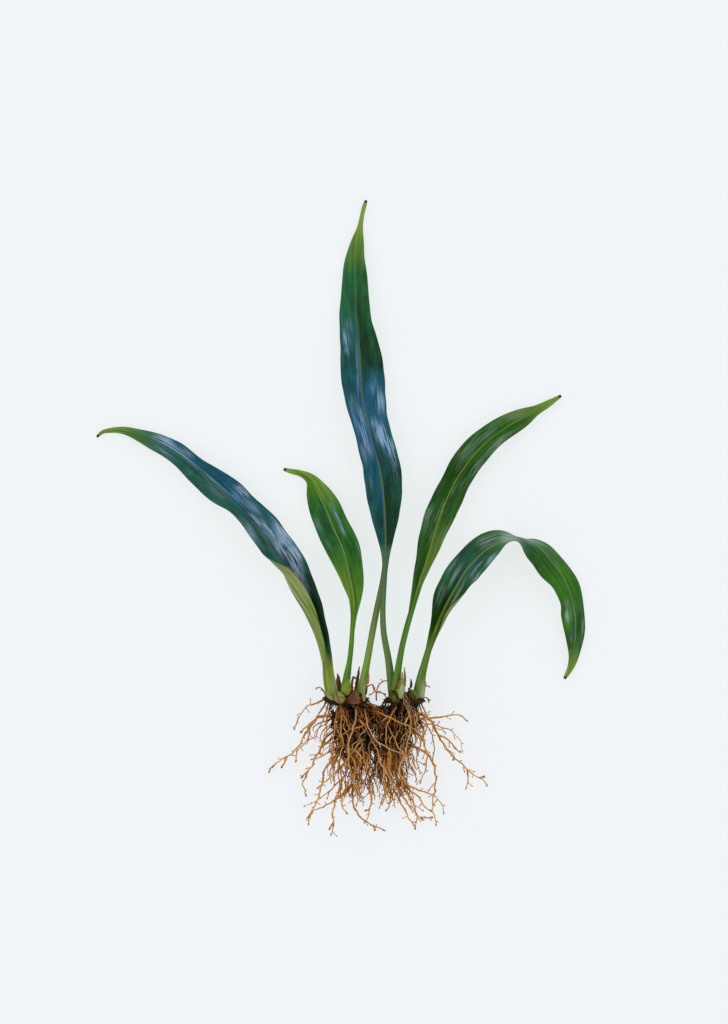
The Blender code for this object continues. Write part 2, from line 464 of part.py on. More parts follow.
def mass_rings(rows):
    """Sections of a root mass: an oval with a flat underside and ridges of bundled roots."""
    rows = np.array(rows)
    angle = (np.arange(MASS_SIDES) + 0.5) * (2 * math.pi / MASS_SIDES)
    middle = (rows[:, 1] + rows[:, 2]) / 2
    half = (rows[:, 2] - rows[:, 1]) / 2
    waist = rows[:, 3] * MASS_WAIST
    drift = np.linspace(0.0, 1.6, len(rows))[:, None]
    ridge = 1.0 - RIDGE_DEPTH * (1 + np.cos(RIDGE_COUNT * angle[None, :] + drift)) / 2
    x = middle[:, None] + half[:, None] * np.cos(angle) * ridge
    z = waist[:, None] + (rows[:, 3] - waist)[:, None] * np.sin(angle) * ridge
    y = np.repeat(rows[:, 0:1], MASS_SIDES, axis=1)
    return np.stack((x, y, np.maximum(z, 0.0)), axis=2)


def loft(name, rings, finish):
    """A closed solid through the rings, with a fan at each end.

    Each four-sided patch is cut in two triangles. The cut runs the other way round on the
    second half of the ring, so a thin blade is cut alike on both of its sides.
    """
    count, sides, _ = rings.shape
    ends = np.stack((rings[0].mean(axis=0), rings[-1].mean(axis=0)))
    points = np.concatenate((rings.reshape(-1, 3), ends))
    points[:, 0] -= ORIGIN_X
    points *= MM
    faces = []
    for row in range(count - 1):
        near, far = row * sides, (row + 1) * sides
        for side in range(sides):
            after = (side + 1) % sides
            one, two = (side, after) if side < sides // 2 else (after, side)
            faces.append((near + side, near + after, far + two))
            faces.append((near + one, far + after, far + side))
    base, tip = count * sides, count * sides + 1
    last = (count - 1) * sides
    for side in range(sides):
        after = (side + 1) % sides
        faces.append((base, after, side))
        faces.append((tip, last + side, last + after))
    mesh = bpy.data.meshes.new(name)
    mesh.from_pydata([tuple(point) for point in points], [], faces)
    work = bmesh.new()
    work.from_mesh(mesh)
    bmesh.ops.recalc_face_normals(work, faces=work.faces)
    work.to_mesh(mesh)
    work.free()
    mesh.shade_smooth()
    mesh.set_sharp_from_angle(angle=math.radians(50))
    mesh.materials.append(make_material(name, finish))
    piece = bpy.data.objects.new(name, mesh)
    bpy.context.scene.collection.objects.link(piece)
    return piece


def solid_tree(pieces):
    """One search tree over the surfaces of several pieces."""
    points = []
    faces = []
    for piece in pieces:
        first = len(points)
        points += [vertex.co.copy() for vertex in piece.data.vertices]
        faces += [[first + corner for corner in polygon.vertices] for polygon in piece.data.polygons]
    return BVHTree.FromPolygons(points, faces)


def clear_of(tree, point, distance):
    """True where a point lies outside the solids by at least the distance, in millimetres."""
    place = Vector(((point[0] - ORIGIN_X) * MM, point[1] * MM, point[2] * MM))
    nearest, normal, _, gap = tree.find_nearest(place)
    return (place - nearest).dot(normal) > 0 and gap > distance * MM


def root_rings(points, tree):
    """A wiry root: its line starts inside its carrier and is cut where it comes out."""
    points = np.array(points, dtype=float)
    length = np.linalg.norm(np.diff(points, axis=0), axis=1).sum()
    fine = even_path(points, np.linspace(0.0, 1.0, int(length / FINE_STEP)))
    inside = [place for place, point in enumerate(fine) if not clear_of(tree, point, ROOT_RADIUS + GAP)]
    first = inside[-1] + 1 if inside else 0
    kept = fine[first:]
    length = np.linalg.norm(np.diff(kept, axis=0), axis=1).sum()
    radius = np.linspace(ROOT_RADIUS, ROOT_TIP_RADIUS, len(kept))[:, None]
    count = max(3, round(length / ROOT_STEP))
    return tube_rings(np.hstack((kept, radius)), count, ROOT_SIDES, axis_up=(0.1, 0.2, 1.0))


def main():
    for old in list(bpy.data.objects):
        bpy.data.objects.remove(old, do_unlink=True)
    for name, spec in FRONDS.items():
        loft(name, frond_rings(spec), FROND_FINISH.get(name, "frond green"))
    carriers = []
    for name, rows in RHIZOMES.items():
        rings = tube_rings(rows, 11, RHIZOME_SIDES, RHIZOME_DEPTH)
        carriers.append(loft(name, rings, "rhizome brown"))
    for name, rows in ROOT_MASSES.items():
        carriers.append(loft(name, mass_rings(rows), "root mass brown"))
    tree = solid_tree(carriers)
    for name, points in {**ROOTS, **CURLED_ROOTS}.items():
        loft(name, root_rings(points, tree), "root brown")
    for name, rows in BUDS.items():
        loft(name, tube_rings(rows, 6, BUD_SIDES), "bud green")
    for name, rows in SCALES.items():
        loft(name, tube_rings(rows, 5, SCALE_SIDES, SCALE_FLATNESS), "dry scale")
    for name, rows in BRACT.items():
        loft(name, tube_rings(rows, 6, BUD_SIDES, BRACT_FLATNESS), "dry scale")


main()
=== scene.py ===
# %% [markdown]
# # A blue oil fern, laid down with its roots bare
# The plant has six strap fronds on two short creeping rhizomes, and each rhizome
# carries a tangle of wiry roots. It lies on a pale floor and is looked at from
# straight above. The solid model gives every place and size; this script gives
# each piece its fine surface and its finish.

import math

import bpy
import numpy as np
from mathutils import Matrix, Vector


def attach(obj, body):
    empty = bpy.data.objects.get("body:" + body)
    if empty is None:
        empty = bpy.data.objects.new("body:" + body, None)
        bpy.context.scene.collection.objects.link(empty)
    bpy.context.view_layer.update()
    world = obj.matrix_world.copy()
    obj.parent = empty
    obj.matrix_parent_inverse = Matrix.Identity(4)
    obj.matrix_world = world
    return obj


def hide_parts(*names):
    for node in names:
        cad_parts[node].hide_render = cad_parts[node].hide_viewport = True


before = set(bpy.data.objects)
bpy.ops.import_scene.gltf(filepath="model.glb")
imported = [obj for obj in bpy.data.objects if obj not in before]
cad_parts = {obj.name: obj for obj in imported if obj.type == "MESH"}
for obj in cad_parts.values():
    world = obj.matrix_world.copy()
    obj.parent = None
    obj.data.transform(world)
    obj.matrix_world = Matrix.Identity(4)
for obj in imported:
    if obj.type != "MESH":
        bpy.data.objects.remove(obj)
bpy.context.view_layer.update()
print("solid nodes:", len(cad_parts))

# %% [markdown]
# ## Units and small helpers
# The tables below are in millimetres. x and y are measured from the fork between
# the two rhizomes, which lies a little to the right of the part's own origin, and
# z from the floor. A smooth curve through a few given points is enough for
# every midrib, stalk and root, because a plant has no straight runs and no corners.

# %% Smooth curves
MM = 0.001
FORK_X = 11.4
# A path is measured in this many points before it is cut into even steps.
FINE_POINTS = 600


def smooth_curve(knots, values, at):
    """Cubic through values at knots; each slope is the mean of the slopes on its two sides."""
    knots = np.asarray(knots, dtype=float)
    values = np.asarray(values, dtype=float)
    slopes = np.gradient(values, knots, axis=0)
    index = np.clip(np.searchsorted(knots, at, side="right") - 1, 0, len(knots) - 2)
    span = knots[index + 1] - knots[index]
    t = (at - knots[index]) / span
    if values.ndim == 2:
        span = span[:, None]
        t = t[:, None]
    start = (2 * t**3 - 3 * t**2 + 1) * values[index] + (t**3 - 2 * t**2 + t) * span * slopes[index]
    end = (3 * t**2 - 2 * t**3) * values[index + 1] + (t**3 - t**2) * span * slopes[index + 1]
    return start + end


def travelled(paths):
    """The distance of each point from the start of its path, measured along the path."""
    steps = np.linalg.norm(np.diff(paths, axis=-2), axis=-1)
    return np.concatenate((np.zeros(steps.shape[:-1] + (1,)), np.cumsum(steps, axis=-1)), axis=-1)


def even_path(points, shares):
    """Points at shares (0 to 1) of the length of the smooth curve through the given points."""
    points = np.asarray(points, dtype=float)
    knots = travelled(points[:, :3])
    fine = np.linspace(0.0, knots[-1], FINE_POINTS)
    along = travelled(smooth_curve(knots, points, fine)[:, :3])
    wanted = np.interp(np.asarray(shares) * along[-1], along, fine)
    return smooth_curve(knots, points, wanted), along[-1]


def table(rows, at):
    """The columns of a table after its first, read off the smooth curve at places in the first."""
    rows = np.asarray(rows, dtype=float)
    return smooth_curve(rows[:, 0], rows[:, 1:], at)


def ease(low, high, value):
    """0 below low, 1 above high, and in between 3t^2 - 2t^3 of the share t of the way."""
    t = np.clip((value - low) / (high - low), 0.0, 1.0)
    return t * t * (3 - 2 * t)


def unit(vectors):
    """Each vector divided by its length."""
    return vectors / np.maximum(np.linalg.norm(vectors, axis=-1, keepdims=True), 1e-9)


def towards(angle):
    """The step (cos, sin) in the direction of each angle."""
    return np.stack((np.cos(angle), np.sin(angle)), axis=-1)


def ripple(random, across, along, across_mm, along_mm, waves=7):
    """Gentle relief of about -1 to 1: the sum of sine waves whose lengths are near those given."""
    total = 0.0
    for _ in range(waves):
        turn = random.uniform(0, 2 * math.pi)
        one = random.uniform(-1.3, 1.3) / across_mm
        two = random.uniform(0.5, 1.4) / along_mm
        total = total + np.sin(2 * math.pi * (across * one + along * two) + turn)
    return total / math.sqrt(waves)


print("curve check, half way between 0 and 2:", smooth_curve([0, 1, 2], [0.0, 1.0, 2.0], np.array([1.0])))

# %% [markdown]
# ## One way to make every mesh
# A frond, a bud and a root are all the same kind of shape: closed rings of points
# carried along a path, with a pole at each end. So one function takes a block of
# rings, for one tube or for hundreds of tubes at once, and numbers all the faces as
# whole arrays. Values that a finish needs, such as how far a point is from the
# midrib, ride along as attributes on the points.

# %% From rings to a closed mesh
def ring_faces(rows, ring):
    """Corner numbers of one closed tube: four-sided patches between rings, and a fan at each pole."""
    row = np.arange(rows - 1)[:, None] * ring
    here = np.arange(ring)
    after = (here + 1) % ring
    quads = np.stack((row + here, row + after, row + ring + after, row + ring + here), axis=2)
    first, last = rows * ring, rows * ring + 1
    top = (rows - 1) * ring
    start_fan = np.stack((np.full(ring, first), after, here), axis=1)
    end_fan = np.stack((np.full(ring, last), top + here, top + after), axis=1)
    return quads.reshape(-1, 4), np.concatenate((start_fan, end_fan))


def signed_volume(points, triangles):
    """Six times the volume inside the triangles; it is negative where they face inwards."""
    a, b, c = (points[triangles[:, corner]] for corner in range(3))
    return np.einsum("ij,ij->", a, np.cross(b, c))


def with_poles(values):
    """Values[tube, row, ring, column] as one list, each tube followed by the means of its end rings."""
    count, rows, ring, columns = values.shape
    ends = np.stack((values[:, 0].mean(axis=1), values[:, -1].mean(axis=1)), axis=1)
    return np.concatenate((values.reshape(count, rows * ring, columns), ends), axis=1)


def stacked(shape, *values):
    """Values spread over one shape and set side by side as the columns of a last axis."""
    return np.stack([np.broadcast_to(value, shape) for value in values], axis=-1)


def closed_piece(name, blocks, material, slot, *nodes):
    """One mesh of closed tubes. A block holds grids[tube, row, ring, xyz] in millimetres and its marks.

    marks maps an attribute's name to values of the same layout. Each tube is closed by a fan
    at each end. The piece rides on the root body and stands for the solid nodes named.
    """
    point_parts, corner_parts, size_parts = [], [], []
    mark_parts = {key: [] for key in blocks[0][1]}
    first = 0
    for grids, marks in blocks:
        count, rows, ring, _ = grids.shape
        points = with_poles(grids)
        each = rows * ring + 2
        quads, fans = ring_faces(rows, ring)
        halves = np.concatenate((quads[:, [0, 1, 2]], quads[:, [0, 2, 3]], fans))
        if signed_volume(points[0] - points[0].mean(axis=0), halves) < 0:
            quads, fans = quads[:, ::-1], fans[:, ::-1]
        shift = first + np.arange(count)[:, None, None] * each
        corner_parts += [(quads + shift).reshape(-1), (fans + shift).reshape(-1)]
        size_parts += [np.full(count * len(quads), 4), np.full(count * len(fans), 3)]
        point_parts.append(points.reshape(-1, 3))
        for key, parts in mark_parts.items():
            parts.append(with_poles(marks[key]).reshape(-1, 3))
        first += count * each
    points = (np.concatenate(point_parts) + (FORK_X, 0.0, 0.0)) * MM
    corners = np.concatenate(corner_parts)
    sizes = np.concatenate(size_parts)
    mesh = bpy.data.meshes.new(name)
    mesh.vertices.add(len(points))
    mesh.vertices.foreach_set("co", points.astype(np.float32).ravel())
    mesh.loops.add(len(corners))
    mesh.loops.foreach_set("vertex_index", corners.astype(np.int32))
    mesh.polygons.add(len(sizes))
    mesh.polygons.foreach_set("loop_start", (np.cumsum(sizes) - sizes).astype(np.int32))
    mesh.update(calc_edges=True)
    mesh.validate()
    mesh.shade_smooth()
    for key, parts in mark_parts.items():
        layer = mesh.attributes.new(key, "FLOAT_VECTOR", "POINT")
        layer.data.foreach_set("vector", np.concatenate(parts).astype(np.float32).ravel())
    mesh.materials.append(material)
    piece = bpy.data.objects.new(name, mesh)
    bpy.context.scene.collection.objects.link(piece)
    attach(piece, "root")
    if nodes:
        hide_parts(*nodes)
    print(f"{name}: {int((sizes - 2).sum())} triangles")


# %% Rings round many paths at once
def carried_rings(paths, radius, sides):
    """Rings of points round paths[tube, row, xyz], at radius[tube, row] or radius[tube, row, side].

    The side direction is carried from row to row, each time made square to the path again,
    so a ring never twists.
    """
    along = unit(np.gradient(paths, axis=1))
    side = np.zeros_like(paths)
    guide = np.where(np.abs(along[:, 0, 2:3]) < 0.9, np.array([0.0, 0.0, 1.0]), np.array([1.0, 0.0, 0.0]))
    side[:, 0] = unit(np.cross(guide, along[:, 0]))
    for row in range(1, paths.shape[1]):
        last = side[:, row - 1]
        level = last - np.einsum("ij,ij->i", last, along[:, row])[:, None] * along[:, row]
        side[:, row] = unit(level)
    other = np.cross(along, side)
    angle = np.arange(sides) * (2 * math.pi / sides)
    if radius.ndim == 2:
        radius = radius[:, :, None]
    spokes = np.cos(angle)[:, None] * side[:, :, None] + np.sin(angle)[:, None] * other[:, :, None]
    return paths[:, :, None] + spokes * radius[..., None]


def beside_path(path, left, up, across, rise):
    """Points[row, side] that lie across to the left of a path's points and rise above them."""
    return path[:, None] + across[..., None] * left[:, None] + rise[..., None] * up[:, None]


# %% [markdown]
# ## Colours and nodes
# Colours are written as the hex values a painter would pick from a screen and are
# turned to linear light once, by one function. One small function adds a node with
# its settings and its links, so that a material reads from top to bottom.

# %% Colour and node helpers
def linear(hex_colour):
    """An sRGB hex colour as linear red, green, blue and alpha."""
    parts = [int(hex_colour[i:i + 2], 16) / 255 for i in (1, 3, 5)]
    return (*[p / 12.92 if p <= 0.04045 else ((p + 0.055) / 1.055) ** 2.4 for p in parts], 1.0)


def set_inputs(tree, node, inputs):
    """Set or link a node's inputs, given by name or in the order of those in use.

    An input is a value, a hex colour, an output of a node, or a node, which stands for its
    first output in use.
    """
    if not isinstance(inputs, dict):
        in_use = [index for index, socket in enumerate(node.inputs) if socket.enabled]
        inputs = dict(zip(in_use, inputs))
    for key, value in inputs.items():
        if isinstance(value, str):
            value = linear(value)
        if isinstance(value, bpy.types.Node):
            value = next(output for output in value.outputs if output.enabled)
        if isinstance(value, bpy.types.NodeSocket):
            tree.links.new(value, node.inputs[key])
        else:
            node.inputs[key].default_value = value


def add(tree, kind, inputs=(), **settings):
    """Add one node with its settings and its inputs; a Mix node mixes colours."""
    node = tree.nodes.new("ShaderNode" + kind)
    if kind == "Mix":
        node.data_type = "RGBA"
    for key, value in settings.items():
        setattr(node, key, value)
    set_inputs(tree, node, inputs)
    return node


def mark(tree, name):
    """An attribute of the mesh as one vector, and as three separate numbers."""
    vector = add(tree, "Attribute", attribute_name=name).outputs["Vector"]
    return vector, add(tree, "SeparateXYZ", [vector]).outputs


def new_material(name):
    """An empty material: its node tree and its Principled shader."""
    material = bpy.data.materials.new(name)
    material.use_nodes = True
    return material, material.node_tree, material.node_tree.nodes["Principled BSDF"]


print("linear mid grey:", [round(c, 3) for c in linear("#808080")])

# %% [markdown]
# ## The shape of the fronds
# A frond of this fern is one leathery strap: a round stalk that becomes the midrib,
# and two half blades that rise, droop or fold over beside it. Each table below gives
# the line of the midrib, the radius of the stalk, half the width of the blade, and
# how steeply each half lifts at the midrib and at its margin. A half that lifts past
# a right angle folds over and shows its pale underside, as the left frond does near
# its base. These are the solid model's own values.

# %% Tables of the fronds
STALK_SLIM = [(0, 1.9), (.06, 1.3), (.2, 1.05), (.35, .95), (.6, .8), (.9, .45), (1, .25)]
STALK_MIDDLE = [(0, 1.7), (.05, 1.4), (.2, 1.2), (.35, 1.1), (.6, .85), (.9, .5), (1, .3)]
STALK_FLARED = [(0, 2), (.06, 1.5), (.14, 1.25), (.35, 1.15), (.6, .9), (.9, .5), (1, .3)]
STALK_STOUT = [(0, 2.4), (.05, 1.8), (.12, 1.4), (.2, 1.3), (.35, 1.1), (.6, .85), (.9, .5), (1, .3)]

FRONDS = {
    "frond_left": {
        "stalk": STALK_STOUT,
        "midrib": [(-20.4, 23.7, 13), (-21.8, 30, 13.2), (-23.7, 39, 12.8), (-26.4, 47.9, 11.8),
            (-31.2, 58.3, 10.4), (-37.2, 68.3, 9), (-42.4, 79, 7.4), (-48, 88, 6), (-56.3, 99, 4),
            (-69.5, 111.8, 2.2), (-87, 126.6, 1.5), (-104.5, 135.5, 1.3), (-117.5, 138.4, 2.4),
            (-121.4, 137.7, 2.8), (-123.9, 135.6, 3)],
        "half_width": [(0, 2.7), (.05, 3.1), (.11, 5), (.19, 7.4), (.27, 9.7), (.35, 10.5), (.43, 10.1),
            (.56, 9.4), (.65, 8.2), (.77, 6.4), (.85, 4.7), (.91, 2.9), (.95, 1.4), (.98, .75), (1, .5)],
        "left_lift": [(0, 0, 0), (.05, 45, 60), (.1, 80, 132), (.16, 80, 160), (.23, 82, 176), (.3, 76, 174),
            (.335, 64, 156), (.365, 50, 122), (.4, 50, 86), (.43, 58, 70), (.46, 64, 62), (.52, 68, 66),
            (.57, 64, 62), (.61, 52, 48), (.65, 44, 38), (.7, 42, 38), (.73, 46, 42), (.77, 54, 50),
            (.85, 50, 46), (.92, 64, 60), (1, 0, 0)],
        "right_lift": [(0, 0, 0), (.05, 34, 22), (.1, 44, 34), (.16, 40, 32), (.24, 24, 16), (.29, 12, 4),
            (.35, 14, 6), (.42, 24, 14), (.46, 22, 12), (.54, 38, 28), (.6, 26, 16), (.65, 36, 26),
            (.71, 52, 44), (.78, 36, 26), (.9, 36, 28), (1, 0, 0)],
    },
    "frond_left_small": {
        "stalk": STALK_SLIM,
        "midrib": [(-14.5, 24, 13.8), (-13.6, 30.5, 13.6), (-12.5, 37.5, 13), (-11.2, 52.8, 11),
            (-10.9, 63.8, 9.2), (-12.3, 72.6, 7.6), (-15.4, 85.8, 5.6), (-19.4, 95, 4.2), (-23.3, 104.3, 2.8),
            (-26.6, 110.6, 2), (-30.2, 116.4, 1.6), (-34.3, 119.2, 1.7), (-38.7, 120.5, 2.2),
            (-41.6, 121.4, 2.6)],
        "half_width": [(0, 2), (.06, 1.5), (.25, 1.2), (.31, 2), (.35, 3.3), (.42, 6), (.5, 7.3), (.6, 7.8),
            (.7, 7.5), (.77, 7), (.84, 5.6), (.885, 4), (.93, 2.2), (.97, 1.1), (1, .5)],
        "left_lift": [(0, 0, 0), (.25, 50, 40), (.35, 62, 56), (.42, 60, 52), (.5, 46, 34), (.58, 30, 16),
            (.66, 22, 6), (.75, 20, 4), (.81, 32, 20), (.85, 50, 42), (.89, 70, 66), (.93, 66, 62),
            (1, 0, 0)],
        "right_lift": [(0, 0, 0), (.25, 30, 25), (.42, 28, 18), (.5, 28, 18), (.6, 20, 8), (.7, 30, 18),
            (.8, 28, 16), (.89, 42, 34), (.95, 34, 28), (1, 0, 0)],
    },
    "frond_behind_tall": {
        "stalk": STALK_FLARED,
        "midrib": [(-7.2, 24, 13), (-6.2, 29.5, 13.2), (-4.7, 37.4, 12.2), (-2.3, 50.6, 9.8), (.3, 63.8, 7.6),
            (2.4, 74.8, 6), (3.4, 88, 4.6), (3.1, 99, 3.4), (2.2, 110, 2.6), (.8, 121, 2), (-1.3, 130, 1.5),
            (-2.9, 137.5, 1.4)],
        "half_width": [(0, 1.9), (.06, 1.6), (.3, 1.35), (.52, 1.4), (.6, 2.6), (.66, 4.2), (.74, 5.4),
            (.82, 5.4), (.9, 4.1), (.96, 2.2), (1, .6)],
        "left_lift": [(0, 0, 0), (.5, 30, 20), (.7, 22, 12), (1, 0, 0)],
        "right_lift": [(0, 0, 0), (.5, 30, 20), (.7, 22, 12), (1, 0, 0)],
    },
    "frond_tall": {
        "stalk": STALK_MIDDLE,
        "midrib": [(6.2, 24.2, 11), (4.6, 37.4, 11.6), (2.4, 50.6, 12.2), (2.1, 57.2, 12.4),
            (2.6, 70.4, 12.4), (3.3, 81.4, 11.8), (3.3, 94.6, 10.8), (2.6, 107.8, 9.6), (.9, 121, 8),
            (-3, 134.2, 6.2), (-6.2, 147.4, 4.6), (-7.4, 160, 3.4), (-8.2, 176, 2.2), (-9.4, 188.5, 1.6),
            (-9.9, 202, 1.3), (-9.4, 216, 1.3), (-7.9, 227.5, 1.8), (-6.6, 235, 2.5), (-5.2, 239.9, 3)],
        "half_width": [(0, 1.7), (.05, 1.45), (.24, 1.3), (.275, 2.3), (.31, 4.4), (.35, 7), (.39, 8.8),
            (.46, 9.7), (.54, 9.8), (.63, 10.5), (.69, 9.6), (.75, 8.4), (.81, 6.6), (.88, 4.9), (.915, 3),
            (.945, 1.2), (.97, .8), (.99, .75), (1, .5)],
        "left_lift": [(0, 0, 0), (.25, 40, 30), (.34, 36, 24), (.4, 40, 28), (.47, 50, 38), (.53, 56, 46),
            (.58, 50, 38), (.65, 38, 26), (.72, 32, 18), (.77, 26, 12), (.85, 22, 10), (1, 0, 0)],
        "right_lift": [(0, 0, 0), (.25, 40, 30), (.34, 36, 24), (.42, 28, 14), (.52, 22, 8), (.6, 18, 4),
            (.66, 14, 0), (.72, 38, 26), (.77, 44, 34), (.82, 34, 24), (.89, 44, 36), (1, 0, 0)],
    },
    "frond_right_upper": {
        "stalk": STALK_MIDDLE,
        "midrib": [(7.6, 24.2, 15.3), (9.3, 36.3, 15.2), (11.1, 45.3, 14.6), (13.4, 54.3, 13.4),
            (16.1, 63.4, 12), (18.9, 72.6, 10.2), (21.7, 81.4, 8.4), (24.8, 92.4, 6.4), (28.2, 103, 4.8),
            (32.1, 112.2, 3.5), (37.2, 121, 2.5), (42.8, 128, 1.9), (49.3, 134.4, 1.6), (58, 140.5, 1.4),
            (67.2, 145.6, 1.6), (75.7, 150.6, 2.4), (80.7, 153.8, 3)],
        "half_width": [(0, 1.7), (.05, 1.45), (.22, 1.25), (.27, 2.6), (.35, 5.1), (.42, 6.9), (.5, 7.6),
            (.6, 7.7), (.69, 7.7), (.77, 7), (.84, 5.8), (.885, 4.3), (.92, 2.5), (.96, 1.5), (1, .5)],
        "left_lift": [(0, 0, 0), (.27, 30, 18), (.4, 34, 22), (.49, 32, 20), (.6, 44, 34), (.7, 30, 16),
            (.77, 30, 20), (.9, 24, 12), (1, 0, 0)],
        "right_lift": [(0, 0, 0), (.24, 60, 56), (.31, 72, 66), (.38, 64, 54), (.46, 50, 42), (.55, 34, 24),
            (.64, 42, 34), (.73, 46, 38), (.8, 50, 42), (.86, 40, 32), (.92, 44, 38), (1, 0, 0)],
    },
    "frond_right_arching": {
        "stalk": STALK_STOUT,
        "midrib": [(18.1, 23.6, 13), (19, 29.5, 13.2), (21.4, 39.2, 13), (24.7, 49.7, 12.4), (29, 60.1, 11.8),
            (33.7, 68.8, 11.2), (39.5, 77.9, 10.8), (44.5, 83, 10.7), (49.3, 86.8, 10.7), (53.9, 89.4, 10.7),
            (58.4, 90.8, 10.6), (62.4, 90.9, 10.4), (67, 89.2, 10.1), (71.3, 86.2, 9.6), (75.8, 81.4, 8.8),
            (80.2, 75.7, 7.8), (83.4, 69.4, 6.9), (86, 61.5, 6.3), (87, 51.9, 5.4), (86, 41.6, 3.8),
            (84.8, 34.2, 2.5), (82.2, 29, 1.5)],
        "half_width": [(0, 2.1), (.06, 1.6), (.12, 1.85), (.17, 4), (.2, 6), (.235, 7.8), (.27, 8.4),
            (.31, 8.4), (.37, 8.6), (.42, 8.7), (.5, 9.1), (.6, 8.8), (.68, 7.8), (.77, 6.6), (.85, 5.6),
            (.89, 4.4), (.93, 2.9), (.965, 1.5), (1, .5)],
        "left_lift": [(0, 0, 0), (.14, 50, 44), (.2, 58, 52), (.235, 52, 38), (.27, 44, 16), (.3, 44, -6),
            (.33, 43, -30), (.36, 40, -52), (.39, 32, -66), (.43, 10, -62), (.465, -30, -54), (.5, -58, -66),
            (.535, -84, -88), (.56, -84, -88), (.59, -70, -74), (.62, -60, -64), (.68, -52, -58),
            (.74, -36, -44), (.81, -42, -50), (.88, -32, -38), (.93, -16, -20), (1, 0, 0)],
        "right_lift": [(0, 0, 0), (.08, 40, 70), (.13, 32, 95), (.17, 30, 115), (.2, 28, 135),
            (.235, 20, 145), (.27, 12, 128), (.3, 8, 108), (.33, 32, 74), (.36, 42, 42), (.385, 46, 42),
            (.43, 54, 50), (.47, 66, 64), (.505, 80, 84), (.525, 82, 84), (.545, 72, 70), (.57, 54, 46),
            (.62, 38, 26), (.66, 24, 8), (.73, 42, 30), (.78, 38, 26), (.82, 16, 4), (.88, 36, 28),
            (.93, 54, 50), (1, 0, 0)],
    },
}
print("fronds:", len(FRONDS))

# %% [markdown]
# ## The fine surface of a frond
# The solid model has three flat steps across each half blade. Here each half is a
# smooth bent strip of thirteen steps. Where the blade opens, the round midrib sinks
# into the upper face and leaves a low rib in a channel, and it stays round
# underneath. Gentle puckers run along the blade, because real leaf tissue grows a
# little faster than its veins.

# %% Sections of a frond
FROND_ROWS = 230
HALF_STEPS = 13
RIB_POINTS = 9
BLADE_HALF = 0.2
MARGIN_HALF = 0.13
THIN_SHARE = 0.28
JOINT_ANGLE = math.radians(37)
JOIN_SHARE = 0.8
PUCKER = 0.1
RIB_HEIGHT = 0.16
# The foot of the stalk goes on into the rhizome by these distances.
FOOT_STEPS = (2.6, 1.8, 0.9)


def path_frame(centre):
    """Unit directions left and up at each point of a path, level with the floor."""
    along = unit(np.gradient(centre, axis=0))
    up = unit(np.array([0.0, 0.0, 1.0]) - along[:, 2:3] * along)
    return np.cross(up, along), up


def half_blade(lift, stalk, reach, upper_joint, relief):
    """Upper and lower points (outward, up) of a half blade, and its rim.

    The half is a bent strip: its lift changes evenly from the midrib to the margin, so each
    point is the sum of small steps (cos lift, sin lift). Both faces stand off that line by
    half the thickness, and relief moves them together.
    """
    share = np.linspace(0.0, 1.0, HALF_STEPS + 1)
    middle = (share[1:] + share[:-1]) / 2
    turn = (lift[:, 1] - lift[:, 0])[:, None]
    angle = lift[:, :1] + turn * middle
    line = np.zeros((len(reach), HALF_STEPS + 1, 2))
    line[:, 1:] = np.cumsum(towards(angle) * (reach / HALF_STEPS)[:, None, None], axis=1)
    line += (JOIN_SHARE * stalk)[:, None, None] * towards(lift[:, :1])
    facing = lift[:, :1] + turn * share
    half = BLADE_HALF + (MARGIN_HALF - BLADE_HALF) * share**3
    half = np.minimum(half, THIN_SHARE * reach[:, None])
    normal = np.stack((-np.sin(facing), np.cos(facing)), axis=-1)
    line = line + normal * relief[:, :, None]
    top = line + normal * half[:, :, None]
    under = line - normal * half[:, :, None]
    rim = line[:, -1] + towards(facing[:, -1]) * half[:, -1:]
    for side, joint in ((top, lift[:, 0] + upper_joint), (under, lift[:, 0] - JOINT_ANGLE)):
        side[:, 0] = towards(joint) * stalk[:, None]
    return top, under, rim


def arc_between(start, end, count, radius):
    """Points on a circle strictly between two angles."""
    share = np.arange(1, count + 1) / (count + 1)
    angle = start[:, None] + (end - start)[:, None] * share
    return towards(angle) * radius[:, None, None]


